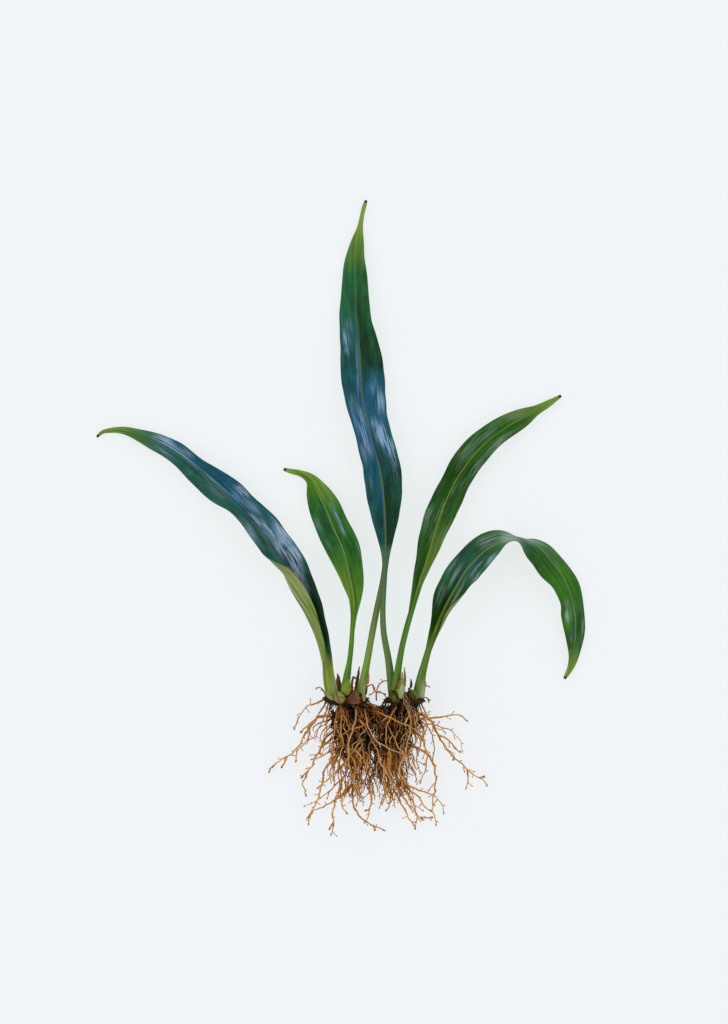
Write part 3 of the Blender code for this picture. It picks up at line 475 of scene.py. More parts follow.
def frond_grid(spec, random):
    """Rings of a frond, and for each point its place on the blade.

    Returns the points and the columns across (mm from the midrib, left is negative), along
    (mm from the base), edge (0 at the midrib, 1 at the margin), top (1 on the upper face),
    share (0 at the base, 1 at the tip) and stalk (1 where there is no blade).
    """
    shares = np.linspace(0.0, 1.0, FROND_ROWS)
    centre, length = even_path(spec["midrib"], shares)
    left, up = path_frame(centre)
    stalk = table(spec["stalk"], shares)[:, 0]
    width = table(spec["half_width"], shares)[:, 0]
    width = width * (1 + 0.01 * ripple(random, 0.0, shares * length, 1.0, 14.0))
    left_lift = np.radians(table(spec["left_lift"], shares))
    right_lift = np.radians(table(spec["right_lift"], shares))
    reach = np.maximum(width - JOIN_SHARE * stalk, (1 - JOIN_SHARE) * stalk + 0.1)
    flat = ease(1.6, 4.0, width / stalk)
    between = math.pi - left_lift[:, 0] - right_lift[:, 0]
    round_joint = np.minimum(JOINT_ANGLE, 0.4 * between)
    flat_joint = np.minimum(np.arcsin(np.minimum(0.9, BLADE_HALF / stalk)), 0.4 * between)
    joint = round_joint + (flat_joint - round_joint) * flat

    edge = np.linspace(0.0, 1.0, HALF_STEPS + 1)
    along = (shares * length)[:, None]
    calm = flat[:, None] * ease(0.0, 0.3, edge) * ease(0.0, 3.0, reach)[:, None]
    halves = []
    for sign, lift in ((-1, left_lift), (1, right_lift)):
        across = sign * (JOIN_SHARE * stalk[:, None] + reach[:, None] * edge)
        relief = PUCKER * calm * ripple(random, across, along, 9.0, 16.0)
        halves.append((*half_blade(lift, stalk, reach, joint, relief), across))
    (l_top, l_under, l_rim, l_across), (r_top, r_under, r_rim, r_across) = halves
    for points in (l_top, l_under, l_rim):
        points[..., 0] *= -1

    right_start = right_lift[:, 0] + joint
    left_start = math.pi - left_lift[:, 0] - joint
    crown = arc_between(left_start, right_start, RIB_POINTS, stalk)
    share = np.arange(1, RIB_POINTS + 1) / (RIB_POINTS + 1)
    chord = l_top[:, :1] + (r_top[:, :1] - l_top[:, :1]) * share[:, None]
    turn = math.pi / 2 + (right_lift[:, 0] - left_lift[:, 0]) / 2
    rise = towards(turn)[:, None]
    bump = RIB_HEIGHT * np.exp(-((share - 0.5) * 4.5) ** 2)
    chord = chord + rise * bump[:, None]
    crown = crown + (chord - crown) * flat[:, None, None]
    below = arc_between(
        right_lift[:, 0] - JOINT_ANGLE, -math.pi - left_lift[:, 0] + JOINT_ANGLE, RIB_POINTS, stalk)
    rib_across = l_across[:, :1] + (r_across[:, :1] - l_across[:, :1]) * share
    at_rib = np.zeros(RIB_POINTS)

    # The parts of a ring in turn: points, mm across, place from midrib to margin, 1 if on top.
    parts = [
        (l_rim[:, None], l_across[:, -1:], [1.0], 0.5),
        (l_top[:, ::-1], l_across[:, ::-1], edge[::-1], 1.0),
        (crown, rib_across, at_rib, 1.0),
        (r_top, r_across, edge, 1.0),
        (r_rim[:, None], r_across[:, -1:], [1.0], 0.5),
        (r_under[:, ::-1], r_across[:, ::-1], edge[::-1], 0.0),
        (below, -rib_across, at_rib, 0.0),
        (l_under, l_across, edge, 0.0),
    ]
    ring, across = (np.concatenate([part[column] for part in parts], axis=1) for column in (0, 1))
    flat_edge = np.concatenate([part[2] for part in parts])
    upper = np.concatenate([np.full(len(part[2]), part[3]) for part in parts])
    points = beside_path(centre, left, up, -ring[..., 0], ring[..., 1])
    foot = points[:1] - unit(centre[1] - centre[0]) * np.array(FOOT_STEPS)[:, None, None]
    bare = (1 - flat) * (1 - ease(0.5, 0.6, shares))
    columns = {"across": across, "along": along, "edge": flat_edge, "top": upper,
               "share": shares[:, None], "stalk": bare[:, None]}
    grid = {"points": np.concatenate((foot, points))}
    for key, values in columns.items():
        values = np.broadcast_to(values, across.shape)
        grid[key] = np.concatenate((np.repeat(values[:1], len(FOOT_STEPS), axis=0), values))
    return grid


# %% [markdown]
# ## Where a frond is blue, dark, or painted with sheen
# The blue of this fern is not a pigment. A thin layer in the skin of a frond grown in
# shade sends blue light back, strongest where the tissue is flat and mature, and it
# is missing at the young tip. So each frond has three strengths: blue and dark along
# each half, where dark is partly the deeper green of the tissue and partly painted
# shade, and a few patches of painted sheen, highlights of the light painted silvery
# into the colour in streaks. They are values on the points of the mesh, and the finish
# turns them into colour.

# %% Strengths along each frond
LEAF_DEFAULTS = {
    "slot": "frond_green", "green": "#2F7A22", "deep_green": "#06340C", "blue": "#1C7090",
    "deep_blue": "#043640", "sheen_colour": "#9DB4CE", "rib_colour": "#7F9430", "rib_highlight_across": -0.9,
    "line": [(0.0, 0.9, 0.0), (0.5, 0.5, 0.0), (1.0, 0.2, 0.0)], "tip": "#7FB02E",
    "stalk_colour": "#74A33C", "stalk_dark": "#4C7D28", "stalk_deep": "#1F5216", "painted_sheen": [], "young": 0.9,
    "bloom": 0.08, "bloom_colour": "#6C8C5C", "fresh": [(0.0, 0, 0), (1.0, 0, 0)],
}

# tone rows: share along, blue left and right, dark left and right. Dark is partly the deeper green of the
# tissue and partly painted shade.
# line rows: share along, half width of the midrib's colour in mm, strength of the blue line at the midrib's
# side, which is partly a painted highlight.
# fresh rows: share along, how yellow-green the left and the right half are.
# painted sheen rows, patches of painted highlight: share along, side (-1 left margin to 1 right margin),
# length, breadth, strength.
LOOKS = {
    "frond_left": {
        "slot": "frond_blue", "green": "#42806A", "deep_green": "#06340F", "blue": "#20769A",
        "tip": "#8AB246", "rib_colour": "#5F7A30", "rib_highlight_across": .62, "young": .955, "stalk_colour": "#A4B450",
        "stalk_dark": "#809838", "sheen_colour": "#ABC4E2",
        "line": [(0, 2.2, 0), (.08, 2.3, 0), (.14, 2.3, 0), (.2, 1.7, 0), (.26, .9, .1), (.31, .35, .2),
            (.45, .3, .6), (.6, .3, .8), (.75, .28, .6), (.85, .25, .1), (1, .15, 0)],
        "tone": [(0, 0, 0, .1, .1), (.06, 0, 0, .1, .25), (.12, 0, 0, .2, .9), (.2, .1, 0, .2, 1),
            (.26, .2, .1, .3, .9), (.32, .25, .45, .3, .75), (.4, .4, .7, .25, .5), (.46, .4, .8, .2, .4),
            (.5, .35, .75, .2, .6), (.54, .35, .9, .15, .3), (.58, .35, 1, .15, .1), (.62, .35, .95, .15, .4),
            (.67, .4, .85, .25, .4), (.73, .35, .85, .25, .35), (.78, .25, .85, .15, .1),
            (.82, .15, .65, .05, .05), (.86, .05, .35, 0, 0), (.9, 0, .15, .1, .1), (1, 0, 0, 0, 0)],
        "fresh": [(0, 0, 0), (.8, 0, 0), (.86, .25, .2), (.9, .5, .5), (.94, .7, .7), (1, .8, .8)],
        "painted_sheen": [(.275, .5, .02, .12, .6), (.315, .4, .028, .2, 1), (.345, .45, .028, .26, .85),
            (.372, .66, .024, .32, 1), (.405, .4, .035, .3, 1), (.425, .8, .035, .2, 1),
            (.455, .3, .035, .2, 1), (.5, .2, .03, .12, 1), (.535, .6, .03, .16, .5),
            (.575, .75, .02, .2, .9), (.56, .3, .04, .14, .5), (.65, .14, .06, .09, .5),
            (.74, .2, .05, .12, .75), (.78, .3, .035, .2, .8), (.815, .42, .028, .3, 1),
            (.82, .78, .02, .22, .85), (.75, .7, .02, .2, .4), (.715, -.6, .012, .14, .45),
            (.62, -.3, .03, .2, .25), (.48, -.7, .04, .35, .6), (.8, -.4, .03, .25, .5)],
    },
    "frond_left_small": {
        "green": "#3F881E", "deep_green": "#0A400A", "blue": "#237C70", "rib_colour": "#93A52C",
        "rib_highlight_across": -.6, "young": .86, "tip": "#92BA50",
        "line": [(0, .8, 0), (.33, .55, 0), (.45, .26, .3), (.7, .19, .4), (.85, .12, 0), (1, .1, 0)],
        "tone": [(0, 0, 0, 0, 0), (.33, 0, 0, .05, .2), (.42, .1, .05, .15, .35), (.52, .35, .15, .3, .4),
            (.62, .5, .3, .45, .45), (.7, .5, .35, .5, .3), (.78, .4, .15, .45, .15), (.84, .2, 0, .4, .1),
            (.9, 0, 0, .15, .05), (1, 0, 0, 0, 0)],
        "fresh": [(0, 0, 0), (.28, .4, .2), (.36, .65, .25), (.44, .6, .2), (.5, .35, .1), (.58, .1, 0),
            (.74, 0, .1), (.82, .15, .5), (.88, .5, .8), (1, .9, .9)],
        "painted_sheen": [(.7, .45, .035, .13, .7), (.655, .42, .03, .1, .8), (.75, .45, .02, .16, .4),
            (.7, -.75, .03, .2, .3), (.55, .85, .03, .1, .3), (.61, -.7, .02, .1, .2)],
    },
    "frond_behind_tall": {
        "green": "#4A7C30", "stalk_colour": "#92B254", "stalk_dark": "#6E943E", "stalk_deep": "#7C8850",
        "tone": [(0, 0, 0, 0, 0), (.14, 0, 0, .1, .1), (.3, 0, 0, 1, 1), (.6, .2, .2, 1, 1),
            (1, 0, 0, .1, .1)],
    },
    "frond_tall": {
        "slot": "frond_blue", "green": "#307A40", "deep_green": "#06321A", "blue": "#206F98",
        "rib_colour": "#6E7832", "rib_highlight_across": -.62, "young": .885, "sheen_colour": "#9ABEE2", "tip": "#92B64A",
        "stalk_colour": "#7E9A48", "stalk_dark": "#567A38", "stalk_deep": "#4A6E5E",
        "line": [(0, .9, 0), (.24, .8, 0), (.3, .4, .2), (.38, .29, .8), (.45, .26, 1.2), (.55, .24, 1.2),
            (.66, .23, 1), (.73, .22, .8), (.79, .2, .1), (1, .16, 0)],
        "tone": [(0, 0, 0, .1, .2), (.1, 0, 0, .1, .2), (.2, .3, .3, .4, .5), (.27, .5, .3, .6, .9),
            (.31, .65, .35, .55, .95), (.36, .7, .35, .5, .95), (.4, .75, .5, .4, .85),
            (.44, .8, .6, .25, .7), (.48, .9, .75, .15, .5), (.52, .95, .85, .1, .3), (.56, .95, .9, .1, .25),
            (.6, .85, .95, .25, .25), (.64, .75, .8, .35, .5), (.67, .72, .4, .3, .8), (.7, .7, .2, .15, .85),
            (.74, .6, .25, .05, .7), (.78, .35, .15, .1, .4), (.84, .2, .15, .15, .25), (.9, 0, 0, .1, .1),
            (1, 0, 0, 0, 0)],
        "fresh": [(0, 0, 0), (.86, 0, 0), (.9, .35, .3), (.94, .8, .8), (1, 1, 1)],
        "painted_sheen": [(.525, -.45, .03, .22, 1), (.55, -.25, .035, .2, 1), (.5, -.3, .025, .2, .75),
            (.49, -.7, .02, .16, .5), (.585, -.62, .02, .1, .3), (.61, -.14, .035, .07, .6),
            (.54, .3, .012, .16, .7), (.512, .5, .024, .24, 1), (.49, .72, .022, .2, 1),
            (.462, .78, .015, .14, .6), (.585, .75, .025, .17, .85), (.62, .5, .02, .1, .4),
            (.72, -.72, .016, .2, .6), (.695, -.68, .012, .16, .5), (.65, -.14, .03, .06, .7),
            (.68, -.12, .03, .05, .6), (.45, .7, .03, .1, .3), (.42, -.7, .015, .1, .25),
            (.56, -.75, .03, .1, .35), (.745, -.5, .015, .2, .3)],
    },
    "frond_right_upper": {
        "green": "#357C22", "deep_green": "#083C08", "sheen_colour": "#93A79C", "rib_colour": "#8CA02C",
        "young": .91, "tip": "#92B650", "deep_blue": "#083830", "bloom": .3, "bloom_colour": "#7A9062",
        "line": [(0, 1, 0), (.26, .9, 0), (.34, .6, 0), (.42, .34, 0), (.6, .26, 0), (.8, .2, 0),
            (1, .12, 0)],
        "tone": [(0, 0, 0, 0, 0), (.24, 0, 0, .5, .15), (.3, 0, 0, .65, .2), (.4, .05, 0, .6, .25),
            (.47, .1, 0, .4, .4), (.53, .1, .05, .6, .6), (.6, .1, .1, .75, .65), (.66, .1, .1, .7, .5),
            (.7, .15, .1, .4, .35), (.8, .05, .05, .25, .35), (.88, 0, 0, .2, .5), (.94, 0, 0, .1, .2),
            (1, 0, 0, 0, 0)],
        "fresh": [(0, 0, 0), (.22, .1, .3), (.3, 0, .42), (.4, 0, .42), (.46, 0, .25), (.52, .05, 0),
            (.8, .05, 0), (.86, .3, .1), (.92, .4, .3), (1, .5, .5)],
        "painted_sheen": [(.77, -.5, .05, .35, .4), (.7, -.45, .035, .35, .4), (.49, -.75, .03, .25, .5),
            (.68, .75, .03, .3, .4), (.62, .6, .03, .3, .15), (.78, .7, .045, .3, .6),
            (.45, .7, .06, .3, .25), (.34, .55, .05, .35, .25), (.52, -.1, .03, .1, .4),
            (.6, .1, .03, .1, .35), (.44, -.1, .025, .1, .35), (.865, -.6, .03, .4, .4)],
    },
    "frond_right_arching": {
        "green": "#42871F", "deep_green": "#06360C", "blue": "#267C8E", "deep_blue": "#083E48",
        "rib_colour": "#88942E", "rib_highlight_across": .6, "young": .95, "sheen_colour": "#A6BCBC", "bloom": .14,
        "bloom_colour": "#78966C", "tip": "#98BA54", "stalk_colour": "#7FA046", "stalk_dark": "#4F7A2C",
        "line": [(0, .9, 0), (.2, .8, 0), (.28, .45, .4), (.36, .29, .6), (.45, .24, .3), (.52, .2, 0),
            (.6, .17, .2), (.8, .15, .3), (1, .1, 0)],
        "tone": [(0, 0, 0, 0, 0), (.12, 0, 0, .3, .1), (.18, 0, 0, .8, .45), (.25, .2, .3, .85, .6),
            (.3, .45, .35, .75, .6), (.34, .6, .55, .7, .55), (.38, .65, .65, .65, .45),
            (.42, .5, .6, .65, .5), (.46, .35, .4, .6, .35), (.5, .3, .4, .2, .2), (.56, .5, .45, .15, .55),
            (.61, .4, .25, .2, .45), (.66, .1, .1, .15, .35), (.71, 0, 0, 0, .1), (.76, .05, .05, .2, .2),
            (.82, .15, .1, .6, .2), (.88, .05, .1, .5, .55), (.94, .05, .05, .1, .35), (1, 0, 0, 0, 0)],
        "painted_sheen": [(.465, -.35, .03, .35, .5), (.51, 0, .022, .7, 1), (.435, .8, .02, .2, .8),
            (.36, .82, .02, .16, .6), (.38, .4, .03, .14, .55), (.3, .2, .04, .08, .6),
            (.33, -.35, .03, .12, .5), (.35, -.8, .02, .12, .3), (.27, -.6, .03, .2, .25),
            (.56, -.3, .025, .4, .6), (.59, -.55, .02, .2, .4), (.65, -.8, .015, .15, .05),
            (.785, .45, .018, .2, .25), (.815, .5, .018, .22, .7), (.8, -.15, .02, .1, .4),
            (.85, -.72, .018, .14, .5), (.895, -.5, .02, .25, .2), (.875, .35, .02, .2, .3),
            (.93, -.2, .02, .3, .1), (.79, -.6, .015, .15, 0)],
    },
}


def frond_marks(grid, look):
    """The four attributes of a frond's finish, worked out from its tables.

    place holds across, along and edge. tone holds blue, dark and painted sheen: blue and
    dark go smoothly from the left half to the right half over the midrib, and dark is partly
    the deeper green of the tissue and partly painted shade. Each patch of painted sheen, a
    highlight of the light painted into the colour, is a bell curve along and across the
    blade. growth holds stalk, youth and top. line holds the half width of the midrib's
    colour, the strength of the blue line at the midrib's side, partly the frond's own blue
    and partly a painted highlight, and how green the underside is near the base.
    """
    share, across = grid["share"], grid["across"]
    rows = np.clip(table(look["tone"], share[:, 0]), 0.0, 1.0)[:, :, None]
    rightness = ease(-0.7, 0.7, across)
    blue = rows[:, 0] + (rows[:, 1] - rows[:, 0]) * rightness
    dark = rows[:, 2] + (rows[:, 3] - rows[:, 2]) * rightness
    side = np.sign(across) * grid["edge"]
    painted_sheen = np.zeros_like(across)
    for at, over, long, wide, strength in look["painted_sheen"]:
        near = ((share - at) / long) ** 2 + ((side - over) / wide) ** 2
        painted_sheen = np.maximum(painted_sheen, strength * np.exp(-near**1.4 * 0.8))
    fresh = table(look["fresh"], share[:, 0])[:, :, None]
    fresh = fresh[:, 0] + (fresh[:, 1] - fresh[:, 0]) * rightness
    tip = np.maximum(fresh, np.clip((share - look["young"] + 0.05) / (1.05 - look["young"]), 0.0, 1.0))
    base = 1 - ease(0.06, 0.3, share)
    line = table(look["line"], share[:, 0])[:, :, None]
    columns = {
        "place": (across, grid["along"], grid["edge"]), "tone": (blue, dark, painted_sheen),
        "growth": (grid["stalk"], tip, grid["top"]), "line": (line[:, 0], line[:, 1], base),
    }
    return {name: stacked(across.shape, *values)[None] for name, values in columns.items()}


# %% [markdown]
# ## The finish of a frond
# The skin is a waxy cuticle over green tissue: it gives soft, broad gloss rather than
# a mirror. Parallel veins about 0.9 mm apart run along the blade; they show as fine
# lighter and darker lines and as a slight bump. The midrib is an olive line with a blue
# line at its side, partly the frond's own blue and partly a painted highlight; the tip
# is young and yellow-green and ends in a dry brown point, and the underside is pale olive.

# %% Leaf material
VEIN_SPACING = 0.9
DRY_END = 1.6


def leaf_material(name, look):
    """Leathery fern cuticle: soft broad gloss over colour that follows the veins."""
    material, tree, shader = new_material(name)
    place, where = mark(tree, "place")
    _, strength = mark(tree, "tone")
    _, state = mark(tree, "growth")
    _, lines = mark(tree, "line")

    # Streaks: noise that is fine across the blade and very long along it.
    streaks = []
    for across_mm, along_mm, detail in ((1.3, 28, 4.0), (0.75, 9, 2.0), (5, 11, 3.0)):
        stretched = add(tree, "VectorMath", (place, (1 / across_mm, 1 / along_mm, 0.0)), operation="MULTIPLY")
        streaks.append(add(tree, "TexNoise", (stretched, 1.0, detail, 0.6)))
    vein_noise, fine_noise, broad_noise = streaks

    # Blue, and dark that is partly the deeper green and partly painted shade, broken up along the veins.
    uneven = add(tree, "MapRange", (vein_noise, 0.3, 0.7, -0.22, 0.22))
    blue = add(tree, "Math", (strength[0], uneven), operation="ADD", use_clamp=True)
    blue = add(tree, "Math", (blue, strength[0]), operation="MULTIPLY", use_clamp=True)
    patchy = add(tree, "MapRange", (broad_noise, 0.35, 0.65, -0.35, 0.35))
    dark = add(tree, "Math", (strength[1], patchy), operation="ADD", use_clamp=True)
    dark = add(tree, "Math", (dark, 0.92), operation="MULTIPLY")
    colour = add(tree, "Mix", (blue, look["green"], look["blue"]))
    deep = add(tree, "Mix", (blue, look["deep_green"], look["deep_blue"]))
    colour = add(tree, "Mix", (dark, colour, deep))

    # Fine light and dark lines of the parallel veins.
    veins = add(tree, "MapRange", (vein_noise, 0.36, 0.62, 0.55, 1.05))
    colour = add(tree, "Mix", (0.8, colour, veins), blend_type="MULTIPLY")

    # A thin dull bloom lies over most of the blade, in streaks.
    bloom = add(tree, "Math", (broad_noise, fine_noise), operation="ADD")
    bloom = add(tree, "MapRange", (bloom, 0.95, 1.25, 0.0, look["bloom"]))
    colour = add(tree, "Mix", (bloom, colour, look["bloom_colour"]))

    # Painted sheen: highlights of the light painted silvery into the patches, torn into fine streaks.
    torn = add(tree, "Math", (fine_noise, 1.6, vein_noise), operation="MULTIPLY_ADD")
    torn = add(tree, "MapRange", (torn, 1.1, 1.4, 0.06, 1.3))
    painted_sheen = add(tree, "Math", (torn, strength[2]), operation="MULTIPLY", use_clamp=True)
    painted_sheen = add(tree, "Math", (painted_sheen, 0.9), operation="MULTIPLY")
    colour = add(tree, "Mix", (painted_sheen, colour, look["sheen_colour"]))

    # The midrib: an olive line, and close at its side a thin blue line, partly the frond's own blue and
    # partly a painted highlight.
    rib = add(tree, "Math", [where[0]], operation="ABSOLUTE")
    rib = add(tree, "Math", (rib, lines[0]), operation="DIVIDE")
    rib = add(tree, "MapRange", (rib, 0.7, 1.4, 1.0, 0.0), interpolation_type="SMOOTHSTEP")
    rib_highlight = add(tree, "Math", (where[0], look["rib_highlight_across"]), operation="SUBTRACT")
    rib_highlight = add(tree, "Math", [rib_highlight], operation="ABSOLUTE")
    rib_highlight = add(tree, "MapRange", (rib_highlight, 0.05, 0.42, 1.0, 0.0), interpolation_type="SMOOTHSTEP")
    broken = add(tree, "MapRange", (fine_noise, 0.4, 0.55, 0.3, 1.0))
    rib_highlight = add(tree, "Math", (rib_highlight, broken), operation="MULTIPLY")
    rib_highlight = add(tree, "Math", (rib_highlight, lines[1]), operation="MULTIPLY", use_clamp=True)
    colour = add(tree, "Mix", (rib_highlight, colour, "#3A7DB8"))
    rib_tint = add(tree, "Mix", (lines[2], look["rib_colour"], look["stalk_colour"]))
    colour = add(tree, "Mix", (rib, colour, rib_tint))

    # Young tissue is yellow-green, and the last millimetre and a half is dry.
    young = add(tree, "MapRange", (state[1], 0.05, 0.85, 0.0, 0.95))
    young_tint = add(tree, "Mix", (0.7, look["tip"], veins), blend_type="MULTIPLY")
    colour = add(tree, "Mix", (young, colour, young_tint))
    dry = add(tree, "MapRange", (where[1], look["dry"], look["dry"] + 0.7, 0.0, 1.0))
    colour = add(tree, "Mix", (dry, colour, "#6B2C22"))

    # The underside is pale, with its veins showing darker, and greener towards the base.
    back = add(tree, "MapRange", (vein_noise, 0.38, 0.62, 0.0, 1.0))
    pale = add(tree, "Mix", (back, "#6A7F38", "#A6B26E"))
    fresh = add(tree, "Mix", (back, "#557C1C", "#86A040"))
    back = add(tree, "Mix", (lines[2], pale, fresh))
    colour = add(tree, "Mix", (state[2], back, colour))

    # The stalk is plain green; the right of its foot is almost white, partly the pale base of the stalk and
    # partly a painted highlight.
    stripe = add(tree, "MapRange", (vein_noise, 0.35, 0.65, 0.0, 1.0))
    stalk = add(tree, "Mix", (stripe, look["stalk_dark"], look["stalk_colour"]))
    # The stalk darkens with the same dark strength, partly painted shade.
    stalk = add(tree, "Mix", (strength[1], stalk, look["stalk_deep"]))
    foot_highlight_side = add(tree, "MapRange", (where[0], -0.4, 1.8, 0.05, 1.0))
    foot = add(tree, "MapRange", (where[1], 0.5, 7.0, 0.75, 0.0), interpolation_type="SMOOTHSTEP")
    foot = add(tree, "Math", (foot, foot_highlight_side), operation="MULTIPLY")
    stalk = add(tree, "Mix", (foot, stalk, "#C6CC9C"))
    is_stalk = add(tree, "MapRange", (state[0], 0.25, 0.9, 0.0, 1.0))
    colour = add(tree, "Mix", (is_stalk, colour, stalk))

    gloss = add(tree, "MapRange", (vein_noise, 0.3, 0.7, 0.3, 0.48))
    wave = add(tree, "Math", (where[0], 2 * math.pi / VEIN_SPACING), operation="MULTIPLY")
    wave = add(tree, "Math", [wave], operation="SINE")
    height = add(tree, "Math", (wave, 0.25, vein_noise), operation="MULTIPLY_ADD")
    bump = add(tree, "Bump", {"Strength": 0.35, "Distance": 0.12 * MM, "Height": height})
    set_inputs(tree, shader, {"Base Color": colour, "Roughness": gloss, "Normal": bump, "IOR": 1.45,
                              "Specular IOR Level": 0.12})
    return material


# %% Make the six fronds
for number, (name, spec) in enumerate(FRONDS.items()):
    grid = frond_grid(spec, np.random.default_rng(40 + number))
    look = {**LEAF_DEFAULTS, **LOOKS[name]}
    look["dry"] = grid["along"].max() - DRY_END
    finish = leaf_material("fern_cuticle_" + name, look)
    block = (grid["points"][None], frond_marks(grid, look))
    closed_piece(name + "_leaf", [block], finish, look["slot"], name)


# %% [markdown]
# ## Wiry roots
# A root of this fern is a tough brown wire about a millimetre thick. It kinks a
# little wherever it forks. Its side rootlets are half a millimetre to three and a half
# millimetres long and end in small knobs. Each main root of the solid model is
# followed along its own path, as a round tube with a gentle sway, and its rootlets
# are short tubes made all at once.

# %% Root shapes
ROOT_RADIUS = 0.52
ROOT_TIP_RADIUS = 0.24
ROOT_GIRTH = 3.4
LEAST_HEIGHT = 0.05
ROOT_STEP = 0.8
ROOT_SIDES = 8
BRANCH_ROWS = 24
BRANCH_SIDES = 6
ROOTLET_SIDES = 5
KNOB_SHARES = np.array([0.0, 0.3, 0.6, 0.8, 0.9, 0.96, 1.0])
KNOB_RADII = np.array([1.2, 1.0, 0.9, 0.85, 1.25, 1.3, 0.8])
# 1 on the knob at the end of a rootlet and 0 before it.
KNOB_MARKS = ease(0.8, 0.92, KNOB_SHARES)
# No root's middle line lies higher than this, so a tangle stays as thick as its solid.
TANGLE_TOP = 23.7
# Rootlets leave a free root about this far apart.
ROOTLET_GAP = 3.4

ROOTS = {
    "root_left_1": [(-23, 20.2, 13), (-25, 19.5, 14), (-28.5, 18, 13), (-31.5, 17, 11), (-33.5, 14, 9),
        (-35.5, 11.5, 8)],
    "root_left_2": [(-20, 14, 15), (-27.5, 11.5, 14), (-31.5, 6, 11), (-34.5, 0, 8), (-36.5, -2.5, 6.5),
        (-41.5, -6, 4.5), (-46, -9, 2.5), (-48.5, -12.5, 1.2)],
    "root_left_3": [(-19.5, 12.5, 9), (-27, 12, 8), (-29.5, 9, 7), (-31, 2, 5), (-34.5, -1.5, 3),
        (-36, -5, 2), (-36.5, -8, 1.2)],
    "root_left_4": [(-18, 5, 8), (-25, -1.5, 7), (-27.5, -5.5, 6), (-29, -9, 5), (-32, -14, 3),
        (-33, -17.5, 2), (-32.5, -20, 1.5), (-31.5, -23, 1.2)],
    "root_left_5": [(-16, 0, 16), (-25.5, -5, 15), (-29.5, -6.5, 14)],
    "root_left_6": [(-17.5, -3, 13), (-24, -12.5, 13), (-24.5, -16.5, 12), (-26, -22, 11), (-28, -27.5, 9),
        (-30, -31.5, 8), (-30.5, -35.5, 7)],
    "root_left_7": [(-14, -7, 17), (-21, -14, 18), (-24, -16.5, 17), (-27, -19, 16)],
    "root_below_1": [(-11.5, -17, 8), (-16, -22.5, 7), (-19.5, -24.5, 5.5), (-22.5, -26.5, 4.5),
        (-26, -28, 3), (-29, -29.5, 2), (-31, -32, 1.2)],
    "root_below_2": [(-14, -13, 4), (-21.5, -20.5, 3), (-24.5, -23, 2), (-28.5, -25.5, 1.4),
        (-33, -27.5, 1.2)],
    "root_below_3": [(-15.5, -14, 12), (-19, -25.5, 11.5), (-20, -29.5, 11), (-19.5, -33.5, 10),
        (-20, -37, 9), (-20.5, -40, 8)],
    "root_below_4": [(-13, -16, 14), (-16, -26, 15), (-14.5, -28.5, 14), (-13.5, -30.5, 13.5)],
    "root_below_5": [(-11, -17, 5), (-11, -25.5, 4.5), (-9.5, -29.5, 4), (-6.5, -33, 3), (-2.5, -35.5, 2),
        (1, -37, 1.5), (3.5, -38, 1.2)],
    "root_below_6": [(-4.5, -15, 12), (-3, -24, 11), (-3.5, -28, 10), (-4.5, -31.5, 9), (-6, -34.5, 8)],
    "root_below_7": [(-9, -17.5, 12), (-9, -23.5, 14), (-9.5, -27, 13)],
    "root_below_8": [(5, -18.5, 6), (5.5, -24.5, 4), (4.5, -27.5, 3), (3.5, -29.5, 2)],
    "root_below_9": [(6.5, -19, 10), (11, -27, 11), (13, -31, 9), (16, -36, 6.5)],
    "root_right_1": [(9.5, -17, 6), (15.8, -26, 4.5), (17, -31.5, 3), (16.5, -37.5, 1.2)],
    "root_right_2": [(8.5, -17.5, 13), (14, -27, 15.5), (17, -30.5, 15), (20, -33, 14)],
    "root_right_3": [(9, -16, 8.5), (19, -24.5, 8), (20.5, -27, 7), (23.5, -29.5, 6)],
    "root_right_4": [(8, -14.5, 11), (18.5, -20, 12), (22, -21, 11), (25.5, -23, 10), (27.5, -25, 9),
        (29, -30.5, 8)],
    "root_right_5": [(10, 1, 7), (19.5, -2.5, 6), (23, -5.5, 5), (24.5, -9, 4), (25.5, -14, 3), (25, -20, 2),
        (24, -27, 1.5), (26, -36, 1.2)],
    "root_right_6": [(11, 6, 14), (18.5, 4.5, 15), (20.5, 0, 14.5), (21.5, -5.5, 14), (20.5, -11.5, 13),
        (18.2, -17, 13.5)],
    "root_right_7": [(16.5, 14.5, 12), (23, 11, 11), (25.5, 6, 9), (28.5, 1, 7), (32.5, -4.5, 5),
        (37.5, -9, 3), (41.5, -13, 2), (45.5, -15, 1.5), (48.5, -18.5, 1.2)],
    "root_right_8": [(39.4, -11.3, 2.2), (39.6, -14.2, 1.7), (39.6, -17, 1.4), (38.4, -20, 1.2)],
    "root_right_9": [(15, 11, 16), (24, 12.2, 16), (28.5, 12.5, 15), (33.5, 13.5, 14), (36.5, 13, 13.5),
        (39.5, 10.5, 13)],
    "root_right_10": [(15, 10, 6), (27.5, 8, 4), (33, 5.5, 3), (36, 2, 2), (37.5, -3.5, 1.2)],
}
CURLED_ROOTS = {
    "root_curl_left": [(-22.8, 20.6, 12), (-24, 24, 12.6), (-25.6, 25.5, 12.6), (-27.4, 24.6, 12.4)],
    "root_curl_middle": [(-6.5, 20.4, 14), (-5, 23.5, 14.4), (-4.4, 26.1, 14.8), (-2.55, 26.65, 15.2),
        (-1.45, 24.3, 15.6), (-2.55, 22.8, 15.2), (-4.4, 22.1, 14.6)],
    "root_curl_right": [(18.8, 22, 11), (20, 25.2, 10.6), (21.6, 26.2, 10.4), (23.3, 25.3, 10.2)],
}
